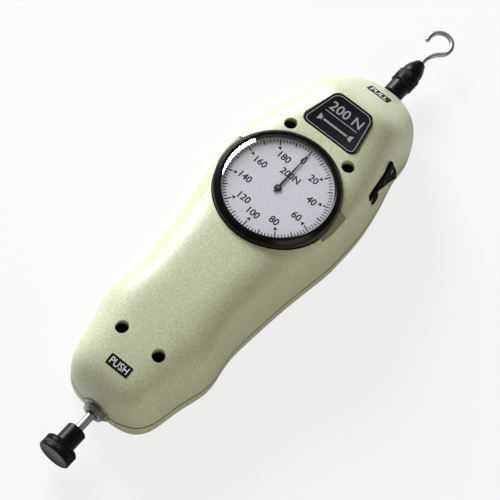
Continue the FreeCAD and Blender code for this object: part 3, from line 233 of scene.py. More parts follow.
def metal(name, colour, roughness, marks, stretch=(1, 1, 1)):
    """A bare metal with fine tool marks in its tone, gloss and skin, marks in grains per metre."""
    finish, flow = new_finish(name)
    lines = noise(flow, marks, 2.0, stretch)
    shade(flow, {
        "Base Color": mixed(flow, lines, dimmed(colour, 0.86), colour), "Metallic": 1.0,
        "Roughness": roughness + lines * 0.12, "Normal": bump(flow, lines, 0.06, 0.00004)})
    return finish


def dress(finish, names):
    """Gives solids that stay as they are a finish."""
    for name in names.split():
        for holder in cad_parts[name].material_slots:
            holder.material = finish


dress(metal("screw_steel", (0.55, 0.56, 0.58, 1), 0.28, 900.0),
      "cover_screws bracket_screws pillar_screws plate_screws case_screws carrier_screw")
dress(metal("oiled_spring_steel", (0.33, 0.34, 0.36, 1), 0.3, 1400.0),
      "main_spring hairspring bezel_spring")
dress(metal("ground_arbor_steel", (0.62, 0.62, 0.64, 1), 0.2, 1200.0),
      "rack_arbor pointer_arbor pawl pawl_pin guide_rod rack spring_collar hairspring_stud")
dress(metal("blackened_arbor_steel", (0.03, 0.03, 0.032, 1), 0.4, 1200.0), "lever_shaft")
dress(metal("cut_brass", (0.78, 0.58, 0.26, 1), 0.26, 1100.0),
      "cover_inserts rack_pinion intermediate_gear centre_pinion ratchet_wheel hair_collet")
dress(metal("milled_alloy", (0.72, 0.72, 0.73, 1), 0.36, 700.0),
      "spring_seat guide_bracket lower_plate upper_plate plate_pillars dial_case case_spacers")
dress(metal("carrier_alloy", (0.7, 0.7, 0.72, 1), 0.32, 800.0), "rack_carrier")
turned_brass = metal("turned_brass", (0.80, 0.61, 0.30, 1), 0.24, 1500.0)
smooth_copy("stand_inserts", "stand_nuts", "case", "brass", turned_brass)

# The nameplate: a black anodised trapezoid with a raised rim, set in the front cover.
# Its rounded outline is raised to a block, then the top is inset and the field sunk.

PLATE_NARROW = 10.6
PLATE_ROUND = 4.0
PLATE_RIM = 0.75
PLATE_WALL = 0.08
PLATE_SINK = 0.15
PLATE_EDGE = 0.12
LINE_INSET = 0.95
LINE_WIDE = 0.32
PRINT_THICK = 0.03
MESH_MERGE = 0.0005


def corners_of(node):
    """The lowest and highest corner of a solid, in mm."""
    low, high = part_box(node)
    return low / MM, high / MM


def finished(name, bm, body, slot, finish, *nodes):
    """Ends a mesh made in mm: merged, faces outwards, scaled to metres and hung up."""
    bmesh.ops.remove_doubles(bm, verts=bm.verts, dist=MESH_MERGE)
    bmesh.ops.recalc_face_normals(bm, faces=bm.faces)
    bmesh.ops.scale(bm, vec=(MM, MM, MM), verts=bm.verts)
    mesh = bpy.data.meshes.new(name)
    bm.to_mesh(mesh)
    bm.free()
    mesh.shade_smooth()
    mesh.set_sharp_from_angle(angle=SHARP)
    return piece_from(name, mesh, body, slot, finish, *nodes)


def soften(bm, offset, segments=3, angle=30.0):
    """Rounds every edge that is sharper than an angle."""
    bmesh.ops.recalc_face_normals(bm, faces=bm.faces)
    limit = math.radians(angle)
    edges = [e for e in bm.edges if len(e.link_faces) == 2 and e.calc_face_angle() > limit]
    bmesh.ops.bevel(bm, geom=edges, offset=offset, segments=segments, profile=0.5,
                    affect="EDGES", material=-1, clamp_overlap=True)


def plate_face(bm, level):
    """The nameplate's flat outline with rounded corners."""
    low, high = corners_of("nameplate")
    places = [(low.x, low.y), (high.x, low.y), (PLATE_NARROW, high.y), (-PLATE_NARROW, high.y)]
    face = bm.faces.new([bm.verts.new((x, y, level)) for x, y in places])
    bmesh.ops.bevel(bm, geom=list(face.verts), offset=PLATE_ROUND, segments=8, profile=0.5,
                    affect="VERTICES", material=-1)
    return bm.faces[:][0]


def raised(bm, faces, tall):
    """Extrudes flat faces upwards and gives the new top faces."""
    made = bmesh.ops.extrude_face_region(bm, geom=faces)["geom"]
    verts = [part for part in made if isinstance(part, bmesh.types.BMVert)]
    bmesh.ops.translate(bm, vec=(0, 0, tall), verts=verts)
    return [part for part in made if isinstance(part, bmesh.types.BMFace)]


def inset(bm, face, wide):
    """Draws a face in by a width and gives the ring of faces round it."""
    return bmesh.ops.inset_region(bm, faces=[face], thickness=wide, use_boundary=True,
                                  use_even_offset=True)["faces"]


def sunk(bm, face, rim, deep):
    """Insets a top face twice and lowers the inner one, so that a rim with a steep wall stays."""
    inset(bm, face, rim)
    inset(bm, face, PLATE_WALL)
    bmesh.ops.translate(bm, vec=(0, 0, -deep), verts=face.verts)


def plain(name, colour, roughness, grain=1200.0, relief=0.08, **extra):
    """A non-metal surface with a fine grain in its tone, gloss and skin."""
    finish, flow = new_finish(name)
    spots = noise(flow, grain, 3.0)
    sockets = {"Base Color": mixed(flow, spots, dimmed(colour, 0.85), colour),
               "Roughness": roughness + spots * 0.1, "Normal": bump(flow, spots, relief, 0.00005)}
    sockets.update({word.replace("_", " "): value for word, value in extra.items()})
    shade(flow, sockets)
    return finish


low, high = corners_of("nameplate")
bm = bmesh.new()
top = raised(bm, [plate_face(bm, low.z)], high.z - low.z)[0]
sunk(bm, top, PLATE_RIM, PLATE_SINK)
soften(bm, PLATE_EDGE)
plate_black = plain("plate_black", (0.004, 0.0045, 0.008, 1), 0.38, Specular_IOR_Level=0.15)
finished("name_plate", bm, "case", "nameplate_black", plate_black, "nameplate")

field = high.z - PLATE_SINK
bm = bmesh.new()
face = plate_face(bm, field)
border = inset(bm, face, LINE_INSET)
line = inset(bm, face, LINE_WIDE)
bmesh.ops.delete(bm, geom=border + [face], context="FACES")
raised(bm, line, PRINT_THICK)
silver_ink = plain("silver_ink", (0.40, 0.385, 0.39, 1), 0.4)
finished("plate_line", bm, "case", "dial_white", silver_ink)

# The nameplate's printing: the range, a rule, and a double arrow for push and pull.
# Words come from a text curve, made a mesh of its own small thickness.

RANGE_TALL = 4.6
RANGE_UP = 3.6
RULE_LONG, RULE_WIDE = 17.5, 0.36
RULE_UP = -0.3
ARROW_LONG, ARROW_WIDE = 15.0, 0.9
ARROW_UP = -4.6
ARROW_HEAD = 2.1
ARROW_REACH = 8.2
SIZE_PER_HEIGHT = 1.4
STAMP_STEP = 0.003


def moved(bm, x, y, z, turn=None):
    """Turns a mesh about the origin, then moves it, in mm."""
    bmesh.ops.transform(bm, matrix=Matrix.Translation((x, y, z)) @ (turn or Matrix()), verts=bm.verts)
    return bm


def together(parts):
    """One mesh from several."""
    whole = bmesh.new()
    for part in parts:
        mesh = bpy.data.meshes.new("part")
        part.to_mesh(mesh)
        part.free()
        whole.from_mesh(mesh)
        bpy.data.meshes.remove(mesh)
    return whole


def words(text, tall, weight, squeeze):
    """A word as thin closed meshes in mm, centred on the origin and facing up.

    It is stamped four times, a weight apart, which makes its strokes bolder and keeps them open.
    Each stamp lies a hair above the last, so that no two of their faces share a plane.
    """
    curve = bpy.data.curves.new("words", "FONT")
    curve.body = text
    curve.size = tall * SIZE_PER_HEIGHT
    curve.extrude = PRINT_THICK / 2
    curve.resolution_u = 4
    holder = in_scene("words", curve)
    mesh = bpy.data.meshes.new_from_object(holder)
    bpy.data.objects.remove(holder)
    bm = bmesh.new()
    bm.from_mesh(mesh)
    bpy.data.meshes.remove(mesh)
    spans = [(min(v.co[k] for v in bm.verts), max(v.co[k] for v in bm.verts)) for k in (0, 1)]
    middle = Vector(((spans[0][0] + spans[0][1]) / 2, (spans[1][0] + spans[1][1]) / 2, 0))
    grow = tall / (spans[1][1] - spans[1][0])
    bmesh.ops.translate(bm, vec=-middle, verts=bm.verts)
    bmesh.ops.scale(bm, vec=(grow * squeeze, grow, 1), verts=bm.verts)
    shifts = [(weight, 0), (-weight, 0), (0, weight), (0, -weight)]
    return together([moved(bm.copy(), *shift, k * STAMP_STEP) for k, shift in enumerate(shifts)])


def bar(long, wide, tall):
    """A thin bar centred on the origin."""
    bm = bmesh.new()
    bmesh.ops.create_cube(bm, size=1.0, matrix=Matrix.Diagonal((long, wide, tall, 1)))
    return bm


def arrowhead(size, tall):
    """A three-cornered block that points to +X."""
    bm = bmesh.new()
    bmesh.ops.create_cone(bm, cap_ends=True, segments=3, radius1=size, radius2=size, depth=tall)
    return moved(bm, 0, 0, 0, Matrix.Rotation(math.pi / 2, 4, "Z"))


ink_level = field + PRINT_THICK / 2
middle_y = (low.y + high.y) / 2
print_parts = [
    moved(words("200 N", RANGE_TALL, 0.08, 1.05), 0, middle_y + RANGE_UP, ink_level),
    moved(bar(RULE_LONG, RULE_WIDE, PRINT_THICK), 0, middle_y + RULE_UP, ink_level),
    moved(bar(ARROW_LONG, ARROW_WIDE, PRINT_THICK), 0, middle_y + ARROW_UP, ink_level)]
for side in (1, -1):
    turn = Matrix.Rotation(0 if side > 0 else math.pi, 4, "Z")
    head = arrowhead(ARROW_HEAD, PRINT_THICK)
    print_parts.append(moved(head, side * ARROW_REACH, middle_y + ARROW_UP, ink_level, turn))
finished("plate_print", together(print_parts), "case", "dial_white", silver_ink)

# The push and pull labels: thin black stickers on the front cover's curved skin, white words.
# Both are made flat and then bent onto the skin, which is read all round the label's pocket.

LABEL_WIDE = 5.0
LABEL_ROUND = 0.35
LABEL_PROUD = 0.12
LABEL_SUNK = 0.2
LETTER_TALL = 3.1
LETTER_LIFT = 0.02
SKIN_MARGIN = 0.5
SLOPE_STEP = 0.2
ABOVE_ALL = 100

cover_skin = bmesh.new()
cover_skin.from_mesh(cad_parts["front_cover"].data)
cover_tree = BVHTree.FromBMesh(cover_skin)
cover_skin.free()


def skin_at(x, y):
    """The height of the front cover's outer skin over a place, in mm."""
    return cover_tree.ray_cast(Vector((x, y, ABOVE_ALL)) * MM, Vector((0, 0, -1)))[0].z / MM


def skin_over(node):
    """A function for the height of the skin that would close a label's pocket."""
    low, high = corners_of(node)
    x0, x1 = low.x - SKIN_MARGIN, high.x + SKIN_MARGIN
    y0, y1 = low.y - SKIN_MARGIN, high.y + SKIN_MARGIN

    def height(x, y):
        u, v = (x - x0) / (x1 - x0), (y - y0) / (y1 - y0)
        across = (1 - u) * skin_at(x0, y) + u * skin_at(x1, y)
        along = (1 - v) * skin_at(x, y0) + v * skin_at(x, y1)
        start = (1 - u) * skin_at(x0, y0) + u * skin_at(x1, y0)
        end = (1 - u) * skin_at(x0, y1) + u * skin_at(x1, y1)
        return across + along - (1 - v) * start - v * end
    return height


def bent(bm, skin, step=0.6):
    """Cuts a flat mesh into strips and lays it on a skin: its own height becomes the one above."""
    spans = [(min(v.co[k] for v in bm.verts), max(v.co[k] for v in bm.verts)) for k in (0, 1)]
    for axis, (start, end) in enumerate(spans):
        across = Vector((axis == 0, axis == 1, 0))
        for k in range(1, int((end - start) / step) + 1):
            parts = bm.verts[:] + bm.edges[:] + bm.faces[:]
            bmesh.ops.bisect_plane(bm, geom=parts, plane_co=across * (start + k * step), plane_no=across)
    for vert in bm.verts:
        x, y, above = vert.co
        slope_x = (skin(x + SLOPE_STEP, y) - skin(x - SLOPE_STEP, y)) / (2 * SLOPE_STEP)
        slope_y = (skin(x, y + SLOPE_STEP) - skin(x, y - SLOPE_STEP)) / (2 * SLOPE_STEP)
        outward = Vector((-slope_x, -slope_y, 1)).normalized()
        vert.co = Vector((x, y, skin(x, y))) + outward * above
    return bm


white_ink = plain("white_ink", (0.93, 0.94, 0.95, 1), 0.35)
label_black = plain("label_black", (0.004, 0.004, 0.004, 1), 0.45, Specular_IOR_Level=0.2)
for word in ("push", "pull"):
    node = word + "_label"
    low, high = corners_of(node)
    skin = skin_over(node)
    bm = bmesh.new()
    places = [(low.x, low.y), (high.x, low.y), (high.x, high.y), (low.x, high.y)]
    face = bm.faces.new([bm.verts.new((x, y, -LABEL_SUNK)) for x, y in places])
    bmesh.ops.bevel(bm, geom=list(face.verts), offset=LABEL_ROUND, segments=4, profile=0.5,
                    affect="VERTICES", material=-1)
    raised(bm, bm.faces[:], LABEL_PROUD + LABEL_SUNK)
    finished(word + "_plate", bent(bm, skin), "case", "label_black", label_black, node)
    bm = words(word.upper(), LETTER_TALL, 0.05, 0.94)
    flat = Matrix.Diagonal((1, (high.y - low.y) / LABEL_WIDE, 1, 1))
    moved(bm, 0, (low.y + high.y) / 2, LABEL_PROUD + LETTER_LIFT, flat)
    finished(word + "_word", bent(bm, skin, 0.5), "case", "dial_white", white_ink)

# The bezel: a gloss black anodised ring that turns on the dial case for the zero setting.
# It is spun from its section, with the same seats as the solid and rounder outer edges.

DIAL_X, DIAL_Y = [(a + b) / 2 for a, b in zip(*corners_of("dial_plate"))][:2]
ROUND_STEPS = 144
CASE_CLEARANCE = 0.35
GLASS_CLEARANCE = 0.05
BEZEL_FOOT_IN, BEZEL_FOOT_TALL = 0.2, 0.8
BEZEL_WALL_DOWN = 2.3
BEZEL_SHOULDER_IN, BEZEL_SHOULDER_DOWN = 0.5, 1.4
BEZEL_LIP = 0.8
BEZEL_LIP_DOWN = 0.35
BEZEL_FALL = 0.1
BEZEL_SEAT_DEEP = 2.4
BEZEL_ROUND = 0.22


def turned(profile, ring=False, steps=ROUND_STEPS):
    """A body, or a ring if its section is closed, spun about Z from radius and height pairs."""
    bm = bmesh.new()
    verts = [bm.verts.new((radius, 0, height)) for radius, height in profile]
    pairs = list(zip(verts, verts[1:] + verts[:1]))
    edges = [bm.edges.new(pair) for pair in (pairs if ring else pairs[:-1])]
    bmesh.ops.spin(bm, geom=verts + edges, cent=(0, 0, 0), axis=(0, 0, 1), angle=2 * math.pi,
                   steps=steps, use_merge=True)
    bmesh.ops.remove_doubles(bm, verts=bm.verts, dist=MESH_MERGE)
    return bm


def radius_of(node):
    """The outer radius of a round solid that stands on Z or lies along Y, in mm."""
    low, high = corners_of(node)
    return (high.x - low.x) / 2


foot, crown = [corner.z for corner in corners_of("bezel_ring")]
under, glass_top = [corner.z for corner in corners_of("crystal")]
bezel_outer = radius_of("bezel_ring")
glass_outer = radius_of("crystal")
seat = radius_of("dial_case") + CASE_CLEARANCE
opening = glass_outer + GLASS_CLEARANCE
lip = opening + BEZEL_LIP
bm = turned([
    (seat, foot), (bezel_outer - BEZEL_FOOT_IN, foot), (bezel_outer, foot + BEZEL_FOOT_TALL),
    (bezel_outer, crown - BEZEL_WALL_DOWN),
    (bezel_outer - BEZEL_SHOULDER_IN, crown - BEZEL_SHOULDER_DOWN),
    (opening + 2 * BEZEL_LIP, crown - BEZEL_FALL), (lip, crown), (opening, crown - BEZEL_LIP_DOWN),
    (opening, under), (lip, under - BEZEL_FALL), (lip, under - BEZEL_SEAT_DEEP),
    (seat, under - BEZEL_SEAT_DEEP)], ring=True)
soften(bm, BEZEL_ROUND, 3, 14.0)
moved(bm, DIAL_X, DIAL_Y, 0)
bezel_gloss = plain("bezel_gloss", (0.003, 0.0026, 0.0026, 1), 0.16, 900.0, 0.02,
                    Specular_IOR_Level=0.24)
finished("bezel", bm, "bezel_set", "bezel_black", bezel_gloss, "bezel_ring")

# The spacer ring under the crystal, gloss black as the bezel, and the dial: white enamel on a
# round plate. The ring is spun, with a bevel round the inside of its top.

RING_WALL = 0.9
RING_TOP = 0.55
RING_BEVEL = 0.5
RING_ROUND = 0.08

ring_foot, ring_crown = [corner.z for corner in corners_of("spacer_ring")]
ring_outer = radius_of("spacer_ring")
ring_inner = ring_outer - RING_WALL
bm = turned([
    (ring_inner, ring_foot), (ring_outer, ring_foot), (ring_outer, ring_crown),
    (ring_outer - RING_TOP, ring_crown), (ring_inner, ring_crown - RING_BEVEL)], ring=True)
soften(bm, RING_ROUND, 2)
moved(bm, DIAL_X, DIAL_Y, 0)
finished("dial_spacer", bm, "bezel_set", "bezel_black", bezel_gloss, "spacer_ring")
dial_white = plain("dial_white", (0.93, 0.91, 0.99, 1), 0.45, 2000.0, 0.03)
dress(dial_white, "dial_plate")

# The dial's printing in black: 100 divisions, a number and a small pointer each 20 N.
# The marks stand on the dial's face, as thick as an ink film, and turn with the bezel.
# Each number stands upright, shifted sideways by a listed amount to sit well under its pointer.

DIVISIONS = 100
MARK_OUTER = 24.2
MARKS = [(10, 3.2, 0.56), (5, 2.4, 0.5), (1, 1.6, 0.38)]
NUMBER_STEP = 20
NUMBER_RADIUS = 16.3
NUMBER_LIFT = 1.5
NUMBER_SHIFTS = (0, -0.8, -0.6, -0.8, -0.8, -0.3, 1.6, 1.6, 2.0, 2.8)
NUMBER_TALL = 3.3
POINTER_RADIUS = 19.8
POINTER_SIZE = 1.1
UNIT_PLACE = (0.3, 8.4)
UNIT_TALL = 3.2

black_ink = plain("black_ink", (0.006, 0.006, 0.008, 1), 0.6, Specular_IOR_Level=0.2)
dial_top = corners_of("dial_plate")[1].z
ink_level = dial_top + PRINT_THICK / 2
marks = []
for k in range(DIVISIONS):
    long, wide = next(size for every, *size in MARKS if k % every == 0)
    turn = Matrix.Rotation(-2 * math.pi * k / DIVISIONS, 4, "Z")
    place = Matrix.Translation((0, MARK_OUTER - long / 2, 0))
    marks.append(moved(bar(wide, long, PRINT_THICK), DIAL_X, DIAL_Y, ink_level, turn @ place))
finished("dial_marks", together(marks), "bezel_set", "pointer_black", black_ink)

figures = []
middle = Vector((DIAL_X, DIAL_Y, ink_level))
for k, shift in enumerate(NUMBER_SHIFTS):
    angle = 2 * math.pi * k / len(NUMBER_SHIFTS)
    away = Vector((math.sin(angle), math.cos(angle), 0))
    place = middle + away * (NUMBER_RADIUS + NUMBER_LIFT * max(away.y, 0) ** 4)
    place.x += shift
    figures.append(moved(words(str(NUMBER_STEP * k), NUMBER_TALL, 0.1, 0.95), *place))
    turn = Matrix.Rotation(math.pi / 2 - angle, 4, "Z")
    figures.append(moved(arrowhead(POINTER_SIZE, PRINT_THICK), *(middle + away * POINTER_RADIUS), turn))
unit = words("200N", UNIT_TALL, 0.09, 0.98)
figures.append(moved(unit, DIAL_X + UNIT_PLACE[0], DIAL_Y + UNIT_PLACE[1], ink_level))
finished("dial_figures", together(figures), "bezel_set", "pointer_black", black_ink)

# The crystal: a clear flat disc with a wide bevel, held by the bezel.
# Its gloss is mirror-like where Fresnel asks for it, and the rest lets the dial show.

BEVEL_WIDE = 3.0
GLASS_WALL = 0.55
GLASS_BREAK_IN, GLASS_BREAK_UP = 0.3, 0.7
GLASS_BEND = 1.75
GLOSS_GAIN, GLOSS_LEAST = 1.3, 0.015

flat = glass_outer - BEVEL_WIDE
bm = turned([(0, under), (glass_outer, under), (glass_outer, under + GLASS_WALL),
             (glass_outer - GLASS_BREAK_IN, under + GLASS_BREAK_UP),
             (flat, glass_top), (flat - GLASS_BREAK_IN, glass_top), (0, glass_top)])
moved(bm, DIAL_X, DIAL_Y, 0)
clear_glass, flow = new_finish("clear_glass")
gloss = flow.node("Fresnel", sockets={"IOR": GLASS_BEND}) * GLOSS_GAIN + GLOSS_LEAST
outside = 1.0 - flow.node("NewGeometry", out="Backfacing")
shade(flow, {"Base Color": (0.97, 0.98, 1.0, 1), "Metallic": 1.0, "Roughness": 0.02,
             "Alpha": gloss * outside})
finished("glass", bm, "bezel_set", "crystal_clear", clear_glass, "crystal")

# The pointer: a slender black needle on a turned boss, pressed on its arbor.

NEEDLE_LIFT = 0.15
NEEDLE_THICK = 0.3
NEEDLE_TAIL, NEEDLE_WAIST, NEEDLE_TIP = 0.42, 0.55, 0.13
NEEDLE_ROUND = 0.05
BOSS_BORE = 0.62
BOSS_RADIUS = 1.6
BOSS_CHAMFER_IN, BOSS_CHAMFER_DOWN = 0.35, 0.25
BOSS_ROUND = 0.06

pointer_low, pointer_high = corners_of("pointer")
bm = bmesh.new()
tail, tip = pointer_low.y - DIAL_Y, pointer_high.y - DIAL_Y
shape = [(-NEEDLE_TAIL, tail), (NEEDLE_TAIL, tail), (NEEDLE_WAIST, 0),
         (NEEDLE_TIP, tip), (-NEEDLE_TIP, tip), (-NEEDLE_WAIST, 0)]
face = bm.faces.new([bm.verts.new((x, y, 0)) for x, y in shape])
raised(bm, [face], NEEDLE_THICK)
soften(bm, NEEDLE_ROUND, 2)
needle = moved(bm, DIAL_X, DIAL_Y, pointer_low.z + NEEDLE_LIFT)
boss = turned([
    (BOSS_BORE, pointer_low.z), (BOSS_RADIUS, pointer_low.z),
    (BOSS_RADIUS, pointer_high.z - BOSS_CHAMFER_DOWN),
    (BOSS_RADIUS - BOSS_CHAMFER_IN, pointer_high.z), (BOSS_BORE, pointer_high.z)], ring=True, steps=48)
soften(boss, BOSS_ROUND, 2)
moved(boss, DIAL_X, DIAL_Y, 0)
needle_black = plain("needle_black", (0.005, 0.005, 0.005, 1), 0.45)
finished("needle", together([needle, boss]), "pointer_set", "pointer_black", needle_black, "pointer")

# The spindle and the wire hook, in bright steel, the dark steel bushings that guide the spindle,
# and the washer and hexagon nut of the push end. The shaft is ground, so its marks run round it,
# and the nut and washer are glossier.

ALONG_Y = Matrix.Rotation(-math.pi / 2, 4, "X")
AXIS_Z = sum(part.z for part in corners_of("spindle")) / 2
ground_steel = metal("ground_steel", (0.48, 0.47, 0.48, 1), 0.36, 1500.0, (0.3, 3.0, 0.3))
nut_steel = metal("nut_steel", (0.40, 0.385, 0.395, 1), 0.22, 1500.0, (0.3, 3.0, 0.3))
dark_steel = metal("dark_steel", (0.10, 0.10, 0.105, 1), 0.3, 1500.0)
for end in ("push", "pull"):
    smooth_copy(end + "_bushing", end + "_guide", "case", "black_metal", dark_steel)
smooth_copy("push_nut", "lock_nut", "case", "steel_bright", nut_steel, math.radians(15))
smooth_copy("push_washer", "washer", "case", "steel_bright", nut_steel)
smooth_copy("spindle", "shaft", "spindle_set", "steel_bright", ground_steel)
smooth_copy("hook", "wire_hook", "spindle_set", "steel_bright",
            metal("bent_wire", (0.45, 0.43, 0.44, 1), 0.33, 2000.0))

# The push pad: a black oxide steel button with a diamond-knurled rim and a plain neck.
# Spun with many rows in its rim; each row's points are then pressed in where a groove runs.

KNURL_DEEP = 0.28
KNURL_MARGIN = 0.5
KNURL_ROW = 0.2
KNURL_FADE = 0.4
RIM_SLACK = 0.01
STEPS_PER_TOOTH = 4
PAD_HEAD = 6.3
PAD_TEETH, PAD_ROWS = 60, 27
FACE_RING_IN, FACE_RING_END = 2.2, 1.6
FACE_DISH, FACE_STEP = 0.35, 0.25
FACE_EDGE = 0.6
NECK_RADIUS = 4.8
NECK_FILLET = 0.4
EDGE_BREAK = 0.5
THREAD_RADIUS = 2.05
THREAD_DEEP = 8


def knurl_rows(radius, start, count):
    """Rows of a section, close together, into which a knurl is pressed later."""
    return [(radius, start + KNURL_MARGIN + KNURL_ROW * k) for k in range(count)]


def grooved(bm, radius, start, end, teeth):
    """Presses a diamond knurl into the points that lie on a radius between two heights."""
    for vert in bm.verts:
        flat = Vector((vert.co.x, vert.co.y, 0))
        if flat.length < radius - RIM_SLACK or not start <= vert.co.z <= end:
            continue
        turn = math.atan2(flat.y, flat.x) / (2 * math.pi) * teeth
        rise = (vert.co.z - start) / (2 * math.pi * radius / teeth)
        waves = [abs((turn + side * rise) % 1.0 - 0.5) * 2 for side in (1, -1)]
        edge = min(1.0, (vert.co.z - start) / KNURL_FADE, (end - vert.co.z) / KNURL_FADE)
        vert.co -= flat.normalized() * KNURL_DEEP * max(waves) ** 2 * edge


face_end, neck_end = [corner.y for corner in corners_of("push_pad")]
pad_outer = radius_of("push_pad")
head_end = face_end + PAD_HEAD
bore_end = neck_end - THREAD_DEEP
rows = knurl_rows(pad_outer, face_end, PAD_ROWS)
bm = turned([
    (0, face_end + FACE_DISH), (pad_outer - FACE_RING_IN, face_end + FACE_STEP),
    (pad_outer - FACE_RING_END, face_end), (pad_outer - FACE_EDGE, face_end), *rows,
    (pad_outer - EDGE_BREAK, head_end), (NECK_RADIUS + NECK_FILLET, head_end),
    (NECK_RADIUS, head_end + NECK_FILLET), (NECK_RADIUS, neck_end - EDGE_BREAK),
    (NECK_RADIUS - EDGE_BREAK, neck_end), (THREAD_RADIUS, neck_end), (THREAD_RADIUS, bore_end),
    (0, bore_end)], steps=STEPS_PER_TOOTH * PAD_TEETH)
grooved(bm, pad_outer, rows[0][1], rows[-1][1], PAD_TEETH)
moved(bm, 0, 0, AXIS_Z, ALONG_Y)
black_oxide = plain("black_oxide", (0.003, 0.0027, 0.0025, 1), 0.27, 1600.0, 0.04,
                    Specular_IOR_Level=0.2)
finished("pad", bm, "spindle_set", "black_metal", black_oxide, "push_pad")

# The hook's adapter: a neck, a diamond-knurled sleeve and a tapered nose, black oxide steel.
# The sleeve is spun and knurled as the pad's rim is, and slides over the neck.

SLEEVE_BORE = 3.85
SLEEVE_TEETH, SLEEVE_ROWS = 44, 31

sleeve_start, sleeve_end = [corner.y for corner in corners_of("knurled_sleeve")]
sleeve_outer = radius_of("knurled_sleeve")
rows = knurl_rows(sleeve_outer, sleeve_start, SLEEVE_ROWS)
bm = turned([
    (SLEEVE_BORE, sleeve_start), (sleeve_outer - EDGE_BREAK, sleeve_start), *rows,
    (sleeve_outer - EDGE_BREAK, sleeve_end), (SLEEVE_BORE, sleeve_end)],
    ring=True, steps=STEPS_PER_TOOTH * SLEEVE_TEETH)
grooved(bm, sleeve_outer, rows[0][1], rows[-1][1], SLEEVE_TEETH)
moved(bm, 0, 0, AXIS_Z, ALONG_Y)
finished("grip_sleeve", bm, "spindle_set", "black_metal", black_oxide, "knurled_sleeve")
smooth_copy("hook_adapter", "adapter", "spindle_set", "black_metal", black_oxide)
smooth_copy("adapter_nose", "nose", "spindle_set", "black_metal", black_oxide)

# The peak lever on the right-hand wall: moulded black plastic, with a steel pin of the case in
# its fork and a small rolled steel eyelet set in its face.

LEVER_TURN = Matrix.Rotation(math.radians(12), 4, "Z") @ Matrix.Rotation(math.radians(-10), 4, "Y")
LEVER_AXIS = (29.7, 55.0, 32.2)
EYELET_PLACE = (8.1, -3.2)
EYELET_SECTION = [(0.55, -0.1), (1.0, -0.1), (0.95, 0.1), (0.6, 0.1)]

lever_black = plain("lever_black", (0.002, 0.0016, 0.0016, 1), 0.55, 1000.0, 0.1,
                    Specular_IOR_Level=0.04)
smooth_copy("peak_lever", "lever", "lever_set", "lever_black", lever_black)
smooth_copy("lever_stop", "stop_pin", "case", "steel_bright", ground_steel)
face_level = max((LEVER_TURN.inverted() @ (v.co / MM - Vector(LEVER_AXIS))).x
                 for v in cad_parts["peak_lever"].data.vertices)
bm = turned(EYELET_SECTION, ring=True, steps=32)
moved(bm, 0, 0, 0, Matrix.Rotation(math.pi / 2, 4, "Y"))
moved(bm, face_level, *EYELET_PLACE)
moved(bm, *LEVER_AXIS, LEVER_TURN)
finished("eyelet", bm, "lever_set", "steel_bright", ground_steel)

# The floor and the light: a plain pale floor, a big soft lamp from the left and a weak one
# from the right, and an even pale sky.

FLOOR_HALF = 3.0
FLOOR_DROP = 0.0001
FLOOR_GLOW = 0.8

floor_mesh = bpy.data.meshes.new("floor")
bm = bmesh.new()
bmesh.ops.create_grid(bm, x_segments=1, y_segments=1, size=FLOOR_HALF)
bm.to_mesh(floor_mesh)
bm.free()
floor_paint = bpy.data.materials.new("floor_white")
floor_paint.use_nodes = True
flow = Flow(floor_paint.node_tree)
shade(flow, {"Base Color": (0.86, 0.86, 0.86, 1), "Roughness": 0.9, "Specular IOR Level": 0.0})
camera_ray = flow.node("LightPath", out="Is Camera Ray")
glow = flow.node("Emission", sockets={"Color": (1, 1, 1, 1), "Strength": 1.0})
plain_floor = Flow(flow.tree, flow.tree.nodes["Principled BSDF"].outputs[0])
both = flow.node("MixShader", sockets={0: camera_ray * FLOOR_GLOW, 1: plain_floor, 2: glow})
flow.tree.links.new(both.socket, flow.tree.nodes["Material Output"].inputs["Surface"])
floor_mesh.materials.append(floor_paint)
floor = in_scene("floor", floor_mesh)
floor.location.z = -FLOOR_DROP

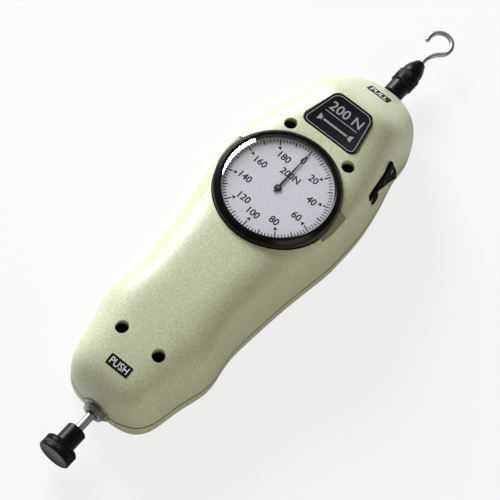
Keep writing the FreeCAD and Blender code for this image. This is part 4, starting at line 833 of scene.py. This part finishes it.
LAMPS = [("key", (-1.15, 0.55, 0.66), 0.8, 31.0, (0.96, 0.97, 1.0)),
         ("fill", (1.0, -0.45, 0.5), 0.9, 3.2, (1.0, 0.96, 0.78))]
SKY_COLOUR = (1.0, 0.97, 0.90, 1)
SKY_STRENGTH = 0.16
for name, place, wide, power, colour in LAMPS:
    lamp = bpy.data.lights.new(name, "AREA")
    lamp.size, lamp.energy, lamp.color = wide, power, colour
    holder = in_scene(name, lamp)
    holder.location = place
    holder.rotation_euler = Vector(place).to_track_quat("Z", "Y").to_euler()
sky = bpy.data.worlds.new("sky")
sky.use_nodes = True
sky.node_tree.nodes["Background"].inputs["Color"].default_value = SKY_COLOUR
sky.node_tree.nodes["Background"].inputs["Strength"].default_value = SKY_STRENGTH
bpy.context.scene.world = sky

# The camera stands where the photograph's did: above, to the lower right, rolled a little.
# It looks at the dial's middle, which lands on its pixel of the photograph.

AZIMUTH, ELEVATION, ROLL = (math.radians(a) for a in (29.662, 62.760, 10.690))
DISTANCE = 1.2493
FOCAL_LENGTH = 206.8
FILM = 36.0
PHOTO = 500
DIAL_PIXEL = (277.69, 188.15)

back = Vector((math.sin(AZIMUTH) * math.cos(ELEVATION), -math.cos(AZIMUTH) * math.cos(ELEVATION),
               math.sin(ELEVATION)))
right = Vector((math.cos(AZIMUTH), math.sin(AZIMUTH), 0))
up = back.cross(right)
stand = Matrix((right, up, back)).transposed().to_4x4() @ Matrix.Rotation(ROLL, 4, "Z")
focal = FOCAL_LENGTH / FILM * PHOTO
turn_left = math.atan((DIAL_PIXEL[0] - PHOTO / 2) / focal)
turn_down = math.atan((PHOTO / 2 - DIAL_PIXEL[1]) / focal)
aim = Matrix.Rotation(turn_left, 4, "Y") @ Matrix.Rotation(-turn_down, 4, "X")
camera = bpy.data.cameras.new("camera")
camera.lens, camera.sensor_width = FOCAL_LENGTH, FILM
holder = in_scene("camera", camera)
dial_middle = Vector((DIAL_X, DIAL_Y, dial_top)) * MM
holder.matrix_world = Matrix.Translation(dial_middle + back * DISTANCE) @ stand @ aim
bpy.context.scene.camera = holder
bpy.context.scene.view_settings.view_transform = "Standard"
